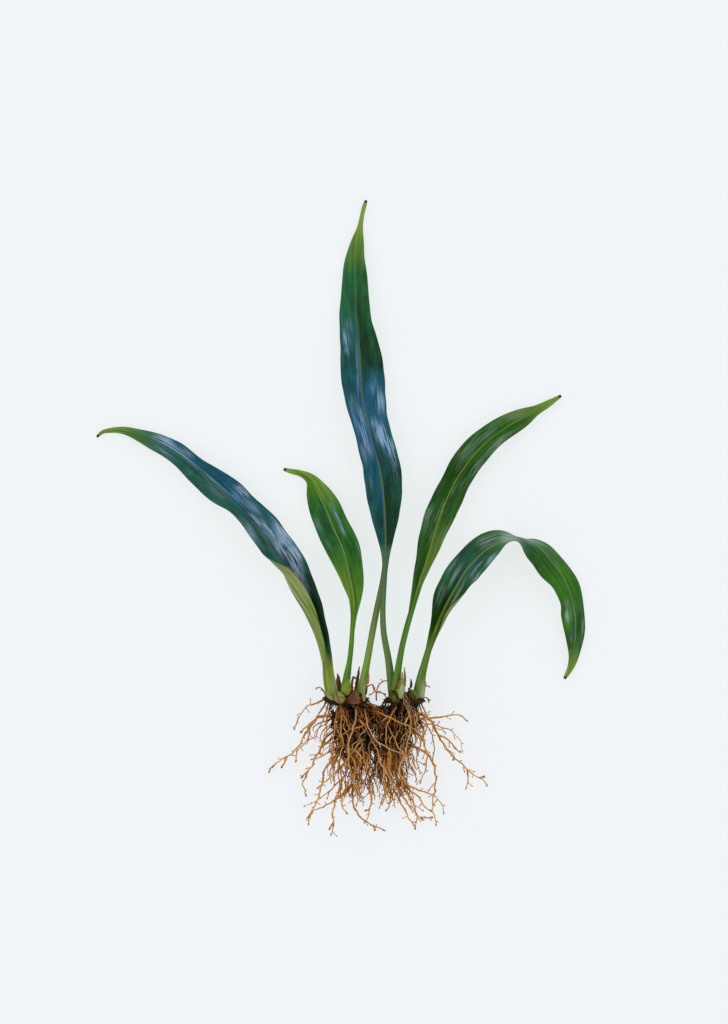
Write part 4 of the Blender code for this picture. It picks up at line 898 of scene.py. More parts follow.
# Side branches, given one by one, where a root forks: (x, y, z).
BRANCHES = {
    "root_left_1": [[(-35.2, 11.8, 8), (-35.8, 9.5, 7.6), (-37.1, 6.5, 7)]],
    "root_left_2": [[(-40.6, -5.4, 4.8), (-41.3, -8, 4), (-42.4, -10.3, 3.4)]],
    "root_left_3": [[(-28.5, 10.5, 7.5), (-31, 8.5, 7.5), (-34.2, 5.3, 7)]],
    "root_left_4": [[(-30.5, -11.5, 4), (-32.2, -12.8, 4), (-34, -14.8, 4)]],
    "root_left_6": [[(-28.6, -29, 8.6), (-30, -30.6, 8.6), (-31.1, -32.3, 8.6)]],
    "root_below_3": [[(-19.6, -34, 10), (-20.9, -36, 9.6), (-21.4, -37.4, 9.4)]],
    "root_below_5": [[(-2.5, -35.5, 2.2), (-1.6, -36.6, 2), (-1.3, -38, 1.8)]],
    "root_below_6": [[(-3.6, -28, 10.2), (-4.6, -28.6, 10), (-6, -28.9, 10)]],
    "root_right_2": [[(18.6, -31.6, 14.5), (21.5, -31.8, 14.3), (24, -31.5, 14)]],
    "root_right_7": [[(32.3, -4.2, 5.2), (33.2, -5.4, 5), (33, -7, 4.8)], [(44.6, -14.6, 1.8), (46, -14.4, 2),
        (47.2, -14.1, 2)], [(26.2, 4.6, 8.4), (30.5, 2.6, 8), (34, -1.5, 7), (36.3, -3.4, 6)]],
    "root_curl_middle": [[(-.7, 19.7, 15.6), (-.7, 23.2, 15.6), (1.45, 27.7, 15), (4.4, 28.3, 14.4),
        (5.5, 26.8, 14.2)], [(-.7, 23.6, 15.4), (1.5, 23.1, 15), (3.65, 22.4, 14.4)]],
    "root_curl_right": [[(18.4, 20.6, 12), (20.4, 21, 11.2), (21.6, 20.8, 11.2), (23.1, 19.4, 11)]],
}
# Some roots are thinner than the others: their share of the usual radius.
THIN_ROOTS = {
    "root_right_10": .6, "root_right_4": .85, "root_left_1": .85, "root_curl_left": .8,
    "root_curl_middle": .8, "root_curl_right": .75, "root_right_8": .75, "root_below_2": .7,
}
print("free roots:", len(ROOTS) + len(CURLED_ROOTS))


def sway(random, paths, amount, wave):
    """Paths moved sideways by slow sine waves of the given length; the first points stay."""
    along = travelled(paths)
    moved = paths.copy()
    for axis, strength in ((0, 1.0), (1, 0.5), (2, 0.7)):
        for part in (1.0, 0.45):
            turn = random.uniform(0, 2 * math.pi, (len(paths), 1))
            length = wave * part * random.uniform(0.8, 1.25, (len(paths), 1))
            wave_now = np.sin(along * 2 * math.pi / length + turn)
            moved[:, :, axis] += strength * part * amount * wave_now * ease(0.0, wave, along)
    return moved


def rootlets(random, main, spots, length, spread, radius):
    """Short side roots from spots (indices) along one main path; each bends towards the main tip.

    A rootlet starts on the main line and leaves it at 35 to 80 degrees, to either side in
    turn. Most are close to the least length. It curves by a random amount and ends in a knob.
    """
    along = unit(np.gradient(main, axis=0))[spots]
    count = len(spots)
    flat = unit(np.cross(along, np.array([0.0, 0.0, 1.0])))
    other = np.cross(along, flat)
    turn = np.where(np.arange(count) % 2, 0.0, math.pi) + random.uniform(-spread, spread, count)
    aside = flat * np.cos(turn)[:, None] + other * np.sin(turn)[:, None]
    lean = np.radians(random.uniform(35, 80, count))[:, None]
    heading = along * np.cos(lean) + aside * np.sin(lean)
    size = length[0] + (length[1] - length[0]) * random.uniform(0.0, 1.0, count) ** 2.2
    t = KNOB_SHARES[:, None]
    bend = (along * random.uniform(-0.2, 0.5, (count, 1)) + random.normal(0, 0.25, (count, 3)))[:, None]
    paths = main[spots][:, None] + (heading[:, None] * t + bend * t * t) * size[:, None, None]
    thick = radius * KNOB_RADII * random.uniform(0.85, 1.2, (count, 1))
    return paths, thick


def root_block(paths, thick, sides, tone, pale=0.0, knob=0.0):
    """A block of root tubes; its place holds the way round and the way along in millimetres.

    The paths themselves are lowered to TANGLE_TOP where they rise above it.
    """
    paths[..., 2] = np.minimum(paths[..., 2], TANGLE_TOP)
    rings = carried_rings(paths, thick, sides)
    rings[..., 2] = np.maximum(rings[..., 2], LEAST_HEIGHT)
    shape = rings.shape[:3]
    place = stacked(shape, np.arange(sides) / sides * ROOT_GIRTH, travelled(paths)[..., None], 0.0)
    tones = stacked(shape, *[np.asarray(values)[..., None] for values in (tone, pale, knob)])
    return rings, {"place": place, "tone": tones}


def rootlet_block(random, path, spots, length, spread, radius, *light):
    """The rootlets of one path as a block; light is their tone, or the least and most of it."""
    paths, wide = rootlets(random, path, spots, length, spread, radius)
    tone = random.uniform(*light, (len(spots), 1)) if len(light) > 1 else light[0]
    return root_block(paths, wide, ROOTLET_SIDES, tone, 0.0, KNOB_MARKS)


# %% [markdown]
# ## The finish of the roots
# Root bark is dry cellulose: dull, golden brown where it is young and clean, and pale
# buff on some roots. Deep in a tangle it is painted almost black as painted shade. The
# tone of each root is an attribute, so one finish serves every root.

# %% Root material
def root_material(name):
    """Dry root bark: rough and dull, with lengthwise wrinkles and uneven patches."""
    material, tree, shader = new_material(name)
    place, _ = mark(tree, "place")
    _, (lightness, pale, knob) = mark(tree, "tone")
    stretched = add(tree, "VectorMath", (place, (2.4, 0.5, 1.0)), operation="MULTIPLY")
    streak = add(tree, "TexNoise", (stretched, 1.0, 4.0))
    where = add(tree, "TexCoord").outputs["Object"]
    patch = add(tree, "TexNoise", (where, 0.26 / MM, 2.0))
    uneven = add(tree, "MapRange", (patch, 0.3, 0.7, -0.14, 0.14))
    level = add(tree, "Math", (lightness, uneven), operation="ADD", use_clamp=True)
    colour = add(tree, "ValToRGB", [level])
    ramp = colour.color_ramp.elements
    # The near-black end of the ramp is painted shade, for the strands deep in a tangle.
    ramp[0].color = linear("#050301")
    ramp[1].color = linear("#F6C87C")
    for position, tint in ((0.12, "#0A0502"), (0.27, "#2E190A"), (0.5, "#9A5B20"), (0.75, "#DE9A42")):
        ramp.new(position).color = linear(tint)
    colour = add(tree, "Mix", (pale, colour, "#DCB58E"))
    wrinkle = add(tree, "MapRange", (streak, 0.35, 0.65, 0.7, 1.1))
    colour = add(tree, "Mix", (0.8, colour, wrinkle), blend_type="MULTIPLY")
    dark_knob = add(tree, "Math", (knob, 0.75), operation="MULTIPLY")
    colour = add(tree, "Mix", (dark_knob, colour, "#96602C"))
    bump = add(tree, "Bump", {"Strength": 0.5, "Distance": 0.08 * MM, "Height": streak})
    set_inputs(tree, shader, {"Base Color": colour, "Roughness": 0.62, "Specular IOR Level": 0.3,
                              "Normal": bump})
    return material


root_bark = root_material("dry_root_bark")
print("made:", root_bark.name)


# %% Make the free roots
def free_root(name, points, random, branches):
    """One main root with its listed branches and its rootlets.

    The radius falls evenly to the tip, swells and shrinks a little as a sine of the distance, and
    has a small bell-shaped knob 0.7 mm before the end.
    """
    _, length = even_path(points, [0.0, 1.0])
    rows = max(8, int(length / ROOT_STEP))
    share = np.linspace(0.0, 1.0, rows)[None, :]
    main, _ = even_path(points, share[0])
    main = sway(random, main[None], 0.22, 7.0)
    thin = THIN_ROOTS.get(name, 1.0)
    thick = thin * (ROOT_RADIUS + (ROOT_TIP_RADIUS - ROOT_RADIUS) * share)
    thick = thick * (1 + 0.1 * np.sin(share * length * 1.7 + random.uniform(0, 6)))
    end = np.exp(-(((1 - share) * length - 0.7) / 0.6) ** 2)
    thick = thick + 0.16 * thin * end
    woody = 0.26 if name.startswith("root_curl") else 0.0
    tone = 0.62 + 0.3 * ease(0.0, 0.9, share) + 0.06 * np.sin(share * length) - woody
    blocks = [root_block(main, thick, ROOT_SIDES, tone, 0.0, end)]
    free = np.nonzero((share[0] * length > 4.0) & ((1 - share[0]) * length > 2.2))[0]
    spots = free[::int(ROOTLET_GAP / ROOT_STEP)]
    if len(spots):
        spots = np.clip(spots + random.integers(-1, 2, len(spots)), 1, rows - 2)
        blocks.append(rootlet_block(random, main[0], spots, (0.7, 3.6), 0.5, 0.23, 0.65, 1.0))
    along = np.linspace(0.0, 1.0, BRANCH_ROWS)[None, :]
    for branch_points in branches:
        branch, far = even_path(branch_points, along[0])
        branch = sway(random, branch[None], 0.18, 6.0)
        end = np.exp(-(((1 - along) * far - 0.5) / 0.5) ** 2)
        blocks.append(root_block(branch, thin * (0.42 - 0.14 * along + 0.2 * end), BRANCH_SIDES,
                                 0.78 + 0.12 * along - woody, 0.0, end))
        spots = np.arange(5, 20, max(5, int(60 / far)))
        blocks.append(rootlet_block(random, branch[0], spots, (0.6, 2.2), 0.6, 0.2, 0.72 - woody))
    closed_piece(name + "_wiry", blocks, root_bark, "root_brown", name)


for number, (name, points) in enumerate({**ROOTS, **CURLED_ROOTS}.items()):
    free_root(name, points, np.random.default_rng(100 + number), BRANCHES.get(name, []))

# %% [markdown]
# ## The two root masses
# Under each rhizome hangs a tangle of more than three hundred roots. Most strands are
# paths inside the solid model's mass: their place across and up is given as a share of
# the mass, -1 to 1 each way, and only a few splay out past its side. Roots start close
# together at the crown and drift apart and across each other. A core of strands deep
# inside is painted almost black as painted shade; the strands on top and at the sides are
# painted lighter and golden, partly their own young colour and partly painted light.
# Fewer and fewer reach the lower end, so the floor shows between them there.

# %% Strands of a mass
MASS_WAIST = 0.42
STRAND_ROWS = 26
STRAND_SIDES = 5
SHADE_CORE_STRANDS = 120
STRANDS = 108
TWIG_SIDES = 4
TWIGS_EACH = 3
SPLAYED = 20
CROWN_STRANDS = 34
TAILS = 12
TAIL_ROWS = 14
FRONT_ROWS = 40
FRONT_SIDES = 7

# Each row: height y, left edge, right edge, top. The two masses grow into each other a little.
ROOT_MASSES = {
    "root_mass_left": [(16.6, -21.5, -2.6, 19), (15.2, -23, -.2, 21.5), (10, -22.6, 1.4, 23.6),
        (3, -21.4, 1.6, 24.4), (-4, -20.2, 1.2, 24), (-10, -18.8, .6, 23), (-16, -17.6, 0, 21),
        (-20, -16.2, -1.4, 18), (-22.2, -13.5, -4.5, 14.5)],
    "root_mass_right": [(16.6, 1.8, 18, 18.5), (15.2, -.4, 20.4, 21), (10, -1.4, 20.6, 23),
        (4, -1.5, 16.6, 23.8), (-3, -1.2, 13.8, 23.4), (-9, -.8, 13.4, 22.4), (-15, -.2, 15.2, 20.4),
        (-20, 1.2, 14.8, 17.6), (-23, 4, 12, 13)],
}
# The rhizomes that the masses hang from: (x, y, z, radius), how much deeper than wide they are,
# and about where their middle line runs.
RHIZOME_DEPTH = 1.45
RHIZOME_Y, RHIZOME_Z = 20.2, 13.0
RHIZOMES = {
    "rhizome_left": [(-24.4, 20.6, 12, .4), (-23, 20.4, 12.3, 1), (-20, 20.2, 12.8, 2.3),
        (-14.5, 20.4, 13.2, 3.2), (-9, 20.4, 13.2, 3), (-5.6, 20, 13, 1.6), (-4.2, 19.8, 13, .4)],
    "rhizome_right": [(2.6, 19.8, 13, .4), (4, 20, 13.2, 1.1), (7.5, 20.2, 13.2, 2.8), (12.5, 20.2, 13, 2.9),
        (17, 20, 12.8, 2.3), (19.6, 19.8, 12.4, 1), (20.6, 19.6, 12.2, .4)],
}
# Roots that lie on top of a mass, given one by one: (x, y, z), how pale and how thick each is.
FRONT_ROOTS = {
    "root_mass_left": [([(-9.4, 17.2, 19.5), (-10.1, 10.7, 22.8), (-12.8, 1.1, 23.2), (-12.8, -7, 22.2),
        (-11.4, -14, 19.5)], .55, .42), ([(-6, 3.2, 23.4), (-9, .4, 23.6), (-12.6, -4.8, 22.8)], .1, .3),
        ([(-18, 16, 17.5), (-19, 8, 20), (-20, 0, 19.5), (-20.2, -9, 17.5), (-19, -17, 14.5)], 0, .34),
        ([(-15, 17, 18), (-16.4, 9, 21.4), (-15.4, 1, 22.6), (-17.4, -8, 20), (-15.8, -16, 17)], 0, .32),
        ([(-6, 16.3, 19), (-4.6, 10, 22.8), (-3.3, 5.9, 23.4), (.9, 1.1, 23.5), (7.7, -2.3, 23.4),
        (13.9, -4.4, 20.8)], .65, .38), ([(-3.3, 3.2, 22.8), (-.5, -1.7, 23.2), (.9, -7, 22.8),
        (4.3, -12.7, 21), (7.7, -19.5, 17.5)], .2, .36), ([(-2, 13, 20), (-6.5, 9, 22.6), (-12, 7.2, 22.6),
        (-17.6, 3.4, 20.2), (-22.4, -3, 15)], 0, .28), ([(-22.6, 19.4, 12.5), (-25, 15.2, 12.6),
        (-27.6, 10.8, 12.2), (-30, 7.2, 11.2), (-31.6, 5.6, 11)], 0, .4), ([(-21.8, 18.8, 12),
        (-23.4, 13, 11), (-25.6, 8.4, 10), (-27.6, 3.8, 8.6), (-31, 1.8, 5.4)], 0, .36), ([(-21, 18, 12),
        (-22.6, 11, 11.4), (-23, 4, 10.4), (-25.2, -1.4, 8)], 0, .34)],
    "root_mass_right": [([(-1.2, 15.5, 19), (5.7, 12.1, 22), (11.9, 9.3, 22.2), (17.4, 6.6, 18.8),
        (20.8, 4.9, 16)], .2, .34), ([(4.3, 9.3, 22.6), (6.4, 4.5, 23.2), (9.8, -1.7, 22.4),
        (14.6, -5.7, 18.8), (21.5, -8.8, 14)], .1, .32), ([(12.5, 17, 18.6), (14.4, 10, 20.8), (13, 2, 21.2),
        (11.2, -6, 20), (8, -14, 17)], .55, .36), ([(8, 17, 19), (4.6, 11, 22.2), (3.4, 3, 22.8),
        (5.6, -6, 22), (2.6, -15, 18.4)], 0, .32), ([(16, 16, 16), (17.6, 9, 17.6), (18.8, 2, 16.8),
        (17, -6, 15.4), (18.6, -13, 12)], .3, .32), ([(18.8, 18.6, 12.6), (21.4, 13.2, 12.2),
        (24.2, 9.2, 10.4), (26.6, 4.2, 8.2)], 0, .4), ([(18, 18, 12.6), (20.2, 12, 12.4), (22.4, 7.4, 11),
        (24.4, 2.2, 8), (24.2, -7.6, 4.6)], .1, .36)],
}

# Bundles of strands, each bent through three boxes: over the gap between the masses, in the
# fork, and low down. A row has the number of strands, the centre and reach of each box, the least
# and most tone and its growth, the sway and its wave, the least and most radius, and how many
# rootlets a strand has.
BUNDLES = [
    (10, [((-6, 17.8, 17), (2.4, 1.6, 1.2)), ((-.6, 15.2, 17.2), (2, 2.2, 2)),
          ((4.2, 12, 18.2), (3.2, 3.6, 1.6))], (.15, .62), 0, (.4, 5), (.14, .26), 0),
    (16, [((-.6, 17, 13), (5, .9, 2)), ((.4, 11.5, 12.5), (2.6, 2, 3)),
          ((.8, 2.5, 13), (2.4, 4.5, 3))], (0, .9), .1, (.3, 6), (.25, .5), 0),
    (10, [((-1, 2, 12), (4, 3, 4)), ((0, -8, 11), (4, 2, 4)), ((.5, -17, 8), (6, 3.5, 4))],
     (.3, .66), 0, (.3, 6), (.18, .36), 3),
]
# Pale hairs at the crown of the right mass, bent in the same way.
HAIRS = 7
HAIR_BOXES = [((11.8, 22.6, 18), (1.4, .8, .4)), ((13, 19.4, 19.6), (1.8, 1, .5)),
              ((14.4, 14, 19.8), (3, 2.6, .9))]


def in_mass(rows, y, over, rise):
    """Points at heights y of a mass, from shares over and rise (-1 to 1) of its width and height.

    Above 0, rise goes from the waist up to the top; below 0, from the waist down to the floor.
    """
    rows = np.asarray(rows, dtype=float)[::-1]
    left, right, top = (np.interp(y, rows[:, 0], rows[:, column]) for column in (1, 2, 3))
    waist = top * MASS_WAIST
    up = waist + np.where(rise > 0, (top - waist) * rise, waist * rise)
    return np.stack(((left + right) / 2 + (right - left) / 2 * over, y, up), axis=-1)


def mass_strands(random, rows, count, reach, spread, highest):
    """Paths of count strands, and how near the top or the sides of the tangle each point lies.

    Each runs from a place near the crown to a place lower down, reach (least and most) of the
    way to the low end, and wanders by three slow waves. spread is how far it stays from the
    middle of the mass, and highest how far it may rise, both as shares.
    """
    t = np.linspace(0.0, 1.0, STRAND_ROWS)
    crown = np.stack((random.uniform(-0.85, 0.85, count), random.uniform(-0.2, 0.75, count)), axis=1)
    far_turn = random.uniform(0, 2 * math.pi, count)
    far_out = np.sqrt(random.uniform(0.0, 1.0, count))
    far = 0.3 * crown + 0.9 * (towards(far_turn) * far_out[:, None])
    start = random.uniform(13.0, 18.5, (count, 1))
    length = (start - rows[-1][0] - 1.0) * random.uniform(*reach, (count, 1))
    y = start - length * t
    pair = crown[:, None] + (far - crown)[:, None] * t[:, None] ** 0.85
    for _ in range(3):
        turn = random.uniform(0, 2 * math.pi, (count, 1, 2))
        waves = random.uniform(0.6, 3.4, (count, 1, 2))
        pair = pair + 0.08 * np.sin(turn + waves * 2 * math.pi * t[:, None]) * ease(0, 0.2, t)[:, None]
    size = np.linalg.norm(pair, axis=2, keepdims=True)
    pair = spread * pair / np.maximum(1.0, size / 0.95)
    rise = np.minimum(pair[..., 1], highest)
    return in_mass(rows, y, pair[..., 0], rise), np.maximum(rise, 1.3 * np.abs(pair[..., 0]) - 0.6)


def bent(start, middle, end):
    """Paths through three points each: a parabola in the share t of the way."""
    t = np.linspace(0.0, 1.0, STRAND_ROWS)[:, None]
    pull = 2 * middle - (start + end) / 2
    return start[:, None] * (1 - t) ** 2 + pull[:, None] * 2 * t * (1 - t) + end[:, None] * t**2


def bundle(random, count, boxes):
    """count paths, each bent through one random point of each of three boxes (centre, reach)."""
    return bent(*[np.array(centre) + random.uniform(-1.0, 1.0, (count, 3)) * np.array(reach)
                  for centre, reach in boxes])


def crown_strands(random, rows, stem, count):
    """Roots that leave the upper side of a rhizome and bend over into the mass below it.

    The start is on the stem: z = middle z + depth * sqrt(r^2 - (y - middle y)^2).
    """
    stem = np.array(stem)
    over = random.uniform(-0.98, 0.98, count)
    x = stem[0, 0] + (stem[-1, 0] - stem[0, 0]) * (over + 1) / 2
    radius = np.interp(x, stem[:, 0], stem[:, 3])
    off = radius * random.uniform(-0.7, 0.8, count)
    y = RHIZOME_Y + off
    z = RHIZOME_Z + RHIZOME_DEPTH * np.sqrt(radius**2 - off**2)
    height = np.sqrt(1 - over**2)
    middle = in_mass(rows, random.uniform(15.8, 17.6, count), over, height * random.uniform(0.8, 1.05, count))
    drift = over * 0.9 + random.normal(0, 0.16, count)
    end = in_mass(rows, random.uniform(2.0, 12.5, count), drift, height * random.uniform(0.75, 1.0, count))
    return bent(np.stack((x, y, z), axis=1), middle, end)


def splayed(random, rows, count):
    """Strands that leave a mass on its outer side: their place across grows to past its edge."""
    t = np.linspace(0.0, 1.0, STRAND_ROWS)
    outer = np.sign(rows[0][1] + rows[0][2])
    far = random.uniform(0.95, 1.6, (count, 1))
    over = outer * (0.5 + (far - 0.5) * ease(0.0, 0.9, t))
    rise = random.uniform(-0.6, 0.4, (count, 1)) * (1 - 0.3 * t)
    y = random.uniform(1.0, 16.5, (count, 1)) - random.uniform(8.0, 20.0, (count, 1)) * t
    return in_mass(rows, y, over, rise)


def strand_block(random, paths, least, most, tone, pale=0.0):
    """A block of strands: the radius is least to most at the start, and 0.7 of that at the end."""
    share = np.linspace(0.0, 1.0, paths.shape[1])
    thick = random.uniform(least, most, (len(paths), 1)) * (1 - 0.3 * share)
    thick = thick * (1 + 0.1 * np.sin(share * 40 + random.uniform(0, 6, (len(paths), 1))))
    return root_block(paths, thick, STRAND_SIDES, tone, pale)


def loose_tails(random, rows, count):
    """Short free ends that leave the low part of a mass and hang on downwards and a little aside.

    At the share t a point is start + step t + bend (t^2 - t).
    """
    t = np.linspace(0.0, 1.0, TAIL_ROWS)[:, None]
    over = random.uniform(-0.85, 0.85, (count, 1))
    rise = random.uniform(-0.7, 0.7, (count, 1))
    y = random.uniform(rows[-1][0] + 2.0, rows[-1][0] + 9.0, (count, 1))
    start = in_mass(rows, y, over, rise)
    fall = random.uniform(3.5, 8.0, (count, 1))
    aside = 0.35 * over + random.normal(0, 0.22, (count, 1))
    step = np.stack((aside * fall, -fall, -0.35 * fall), axis=2)
    bend = random.normal(0, 0.12, (count, 1, 3)) * fall[..., None]
    paths = start + step * t + bend * (t * t - t)
    paths[..., 2] = np.maximum(paths[..., 2], 0.9)
    return sway(random, paths, 0.2, 5.0)


def twigs(random, paths, tone, each, length, radius):
    """Rootlets on every path of a set, as one block; each takes its tone from where it grows."""
    sets, widths, tones = [], [], []
    for path, own in zip(paths, tone):
        spots = np.sort(random.integers(2, len(path) - 1, each))
        some, wide = rootlets(random, path, spots, length, 1.4, radius)
        sets.append(some)
        widths.append(wide)
        tones.append(np.broadcast_to(own[spots][:, None] + 0.1, wide.shape))
    sets, widths, tones = (np.concatenate(parts) for parts in (sets, widths, tones))
    return root_block(sets, widths, TWIG_SIDES, tones, 0.0, KNOB_MARKS)


def make_mass(name, rows, random, front, stem):
    """A root mass: a core of strands painted near black as painted shade, golden strands over them, and
    strands that leave its sides.
    """
    share = np.linspace(0.0, 1.0, STRAND_ROWS)
    # The core strands are painted near black: painted shade deep in the tangle.
    shade_core, _ = mass_strands(random, rows, SHADE_CORE_STRANDS, (0.35, 0.72), 0.64, 0.5)
    blocks = [strand_block(random, shade_core, 0.42, 0.85, 0.5 * ease(0.3, 0.85, share))]

    def grow(paths, least, most, tone, each, longest, twig_radius, pale=0.0):
        """Strands of one set, and the rootlets on them."""
        blocks.append(strand_block(random, paths, least, most, tone, pale))
        blocks.append(twigs(random, paths, tone, each, (0.5, longest), twig_radius))

    paths, outer = mass_strands(random, rows, STRANDS, (0.45, 1.06), 1.0, 1.0)
    paths = sway(random, paths, 0.16, 7.0)
    low = ease(2.0, -12.0, paths[..., 1])
    woody = 0.66 * ease(-10.0, 5.0, paths[..., 1]) * (random.uniform(0, 1, (STRANDS, 1)) > 0.36)
    # Painted light and shade: strands are painted lighter near the top and the sides of the tangle and darker
    # inside it, less so towards the open low end.
    tone = 0.18 + 0.7 * ease(0.05, 0.85, outer) * (1 - 0.5 * low) + 0.3 * low - woody
    tone = tone + random.normal(0.0, 0.15, (STRANDS, 1))
    pale = np.where(random.uniform(0, 1, (STRANDS, 1)) > 0.84, 0.6, 0.0) * ease(0.3, 0.6, outer)
    grow(paths, 0.18, 0.42, tone, TWIGS_EACH, 2.6, 0.17, pale)

    over = sway(random, crown_strands(random, rows, stem, CROWN_STRANDS), 0.3, 5.0)
    tone = 0.12 + 0.36 * ease(0.2, 0.9, share) + random.normal(0.0, 0.18, (CROWN_STRANDS, 1))
    grow(over, 0.14, 0.3, tone, 2, 2.0, 0.15)

    for count, boxes, tones, growth, swaying, radii, each in BUNDLES:
        paths = bundle(random, count, boxes)
        tone = random.uniform(*tones, (count, 1)) + growth * share
        blocks.append(strand_block(random, sway(random, paths, *swaying), *radii, tone))
        if each:
            blocks.append(twigs(random, paths, tone, each, (0.5, 2.4), 0.16))

    side = sway(random, splayed(random, rows, SPLAYED), 0.22, 8.0)
    tone = 0.5 + 0.36 * share + random.normal(0.0, 0.08, (SPLAYED, 1))
    grow(side, 0.2, 0.38, tone, 2, 2.4, 0.15)
    if name == "root_mass_right":
        hairs = sway(random, bundle(random, HAIRS, HAIR_BOXES), 0.3, 4.0)
        blocks.append(strand_block(random, hairs, 0.06, 0.1, 0.9, 0.8))

    tails = loose_tails(random, rows, TAILS)
    tone = random.uniform(0.55, 0.8, (TAILS, 1)) + 0.15 * np.linspace(0.0, 1.0, TAIL_ROWS)
    grow(tails, 0.22, 0.34, tone, 4, 2.4, 0.17)

    along = np.linspace(0.0, 1.0, FRONT_ROWS)[None, :]
    middle = np.sin(math.pi * along) ** 0.6
    for points, pale, radius in front:
        line, _ = even_path(points, along[0])
        line = sway(random, line[None], 0.22, 8.0)
        blocks.append(root_block(line, radius * (1 - 0.4 * along), FRONT_SIDES, 0.46 + 0.32 * middle,
                                 pale * middle))
        spots = np.arange(5, FRONT_ROWS - 2, 4)
        blocks.append(rootlet_block(random, line[0], spots, (0.5, 2.6), 0.9, 0.17, 0.6))
    closed_piece(name + "_tangle", blocks, root_bark, "root_brown", name)


for number, (name, rows) in enumerate(ROOT_MASSES.items()):
    stem = RHIZOMES[name.replace("root_mass", "rhizome")]
    make_mass(name, rows, np.random.default_rng(7 + number), FRONT_ROOTS[name], stem)

# %% [markdown]
# ## The rhizomes
# A rhizome is a stout creeping stem. It is lumpy where fronds have dropped, brown
# and woody between them, tinted green by moss, and covered with small dry scales
# that point outwards.

# %% Lumpy stems and their coats of scales
RHIZOME_ROWS = 70
RHIZOME_SIDES = 44
LUMP_WAVES = 9
COAT_SCALES = 210
COAT_ROWS = 6
COAT_SIDES = 6


def fat_path(points, rows):
    """Even places along a path whose points carry a radius, with the path's left and up."""
    path, length = even_path(points, np.linspace(0.0, 1.0, rows))
    left, up = path_frame(path[:, :3])
    return path[:, :3], path[:, 3], left, up, length


def lumpy_tube(points, rows, sides, depth, random, lump):
    """Rings round a path; the radius is the path's own, with lumps, and depth stretches it upwards.

    The lumps are the sum of sine waves that wind round and along the path.
    """
    centre, radius, left, up, length = fat_path(points, rows)
    angle = np.arange(sides) * (2 * math.pi / sides)
    along = np.linspace(0.0, length, rows)[:, None]
    relief = np.zeros((rows, sides))
    for _ in range(LUMP_WAVES):
        waves = random.integers(2, 7)
        turn = random.uniform(0, 2 * math.pi)
        relief += np.sin(angle * waves + along * random.uniform(0.4, 2.2) + turn)
    radius = radius[:, None] * (1 + lump * relief / 3)
    return beside_path(centre, left, up, np.cos(angle) * radius, np.sin(angle) * radius * depth)


def pointed_scales(base, heading, facing, length, width, curl):
    """Small pointed scales: flat tubes that narrow to a point and curl away from the surface.

    The half width is width * sqrt(1 - t) * (0.7 + 0.5 t) at the share t of the length, and the
    thickness is 0.16 of the full width.
    """
    t = np.linspace(0.02, 0.98, COAT_ROWS)[:, None]
    heading, facing = unit(heading), unit(facing)
    side = np.cross(facing, heading)
    centre = base[:, None] + (heading[:, None] * t + facing[:, None] * (curl[:, None, None] * t * t)) \
        * length[:, None, None]
    half = width[:, None, None] * np.sqrt(1 - t) * (0.7 + 0.5 * t)
    angle = np.arange(COAT_SIDES) * (2 * math.pi / COAT_SIDES)
    flat = np.cos(angle)[:, None] * side[:, None, None]
    thin = np.sin(angle)[:, None] * facing[:, None, None] * 0.16
    rings = centre[:, :, None] + (flat + thin) * half[..., None]
    shape = rings.shape[:3]
    edge = np.broadcast_to(np.abs(np.cos(angle)), shape)
    return rings, stacked(shape, edge * width[:, None, None], t * length[:, None, None], t), edge


def coat(random, rings, count, size):
    """Scales set at random over a tube's rings, pointing along it and a little away from it."""
    rows, sides, _ = rings.shape
    row = random.integers(3, rows - 3, count)
    side = random.integers(0, sides, count)
    base = rings[row, side]
    middle = rings[row].mean(axis=1)
    out = unit(base - middle)
    along = unit(rings[row + 2, side] - rings[row - 2, side])
    along = along * np.where(random.uniform(0, 1, (count, 1)) > 0.5, 1, -1)
    down = np.array([0.0, -0.35, 0.0])
    heading = along * random.uniform(0.1, 1.0, (count, 1)) + out * 0.35 + down
    heading = heading + random.normal(0, 0.35, (count, 3))
    length = random.uniform(*size, count)
    return pointed_scales(base - out * 0.2, heading, out, length, length * random.uniform(0.1, 0.24, count),
                          random.uniform(0.0, 0.5, count))


# %% [markdown]
# ## The finishes of the crown
# Six finishes serve the crown. Woody stem is rough and brown with moss in its
# hollows. Dry scales are papery, ribbed lengthwise and paler at the edges; two of
# them are still reddish, and the bract is a warmer brown. Young buds are smooth and
# waxy, green with brown edges; two are dark with moss and one has dried up.

# %% Crown materials
def stem_material(name):
    """Rhizome bark: rough, brown, with green moss; nothing shines."""
    material, tree, shader = new_material(name)
    where = add(tree, "TexCoord").outputs["Object"]
    lump = add(tree, "TexNoise", (where, 0.42 / MM, 6.0, 0.7))
    patch = add(tree, "TexNoise", (where, 0.17 / MM, 3.0))
    bark = add(tree, "MapRange", (lump, 0.3, 0.7, 0.0, 1.0))
    colour = add(tree, "Mix", (bark, "#0E0805", "#4A2E18"))
    moss = add(tree, "MapRange", (patch, 0.52, 0.66, 0.0, 0.6))
    colour = add(tree, "Mix", (moss, colour, "#3C481A"))
    bump = add(tree, "Bump", {"Strength": 0.9, "Distance": 0.3 * MM, "Height": lump})
    set_inputs(tree, shader, {"Base Color": colour, "Roughness": 0.88, "Specular IOR Level": 0.2,
                              "Normal": bump})
    return material


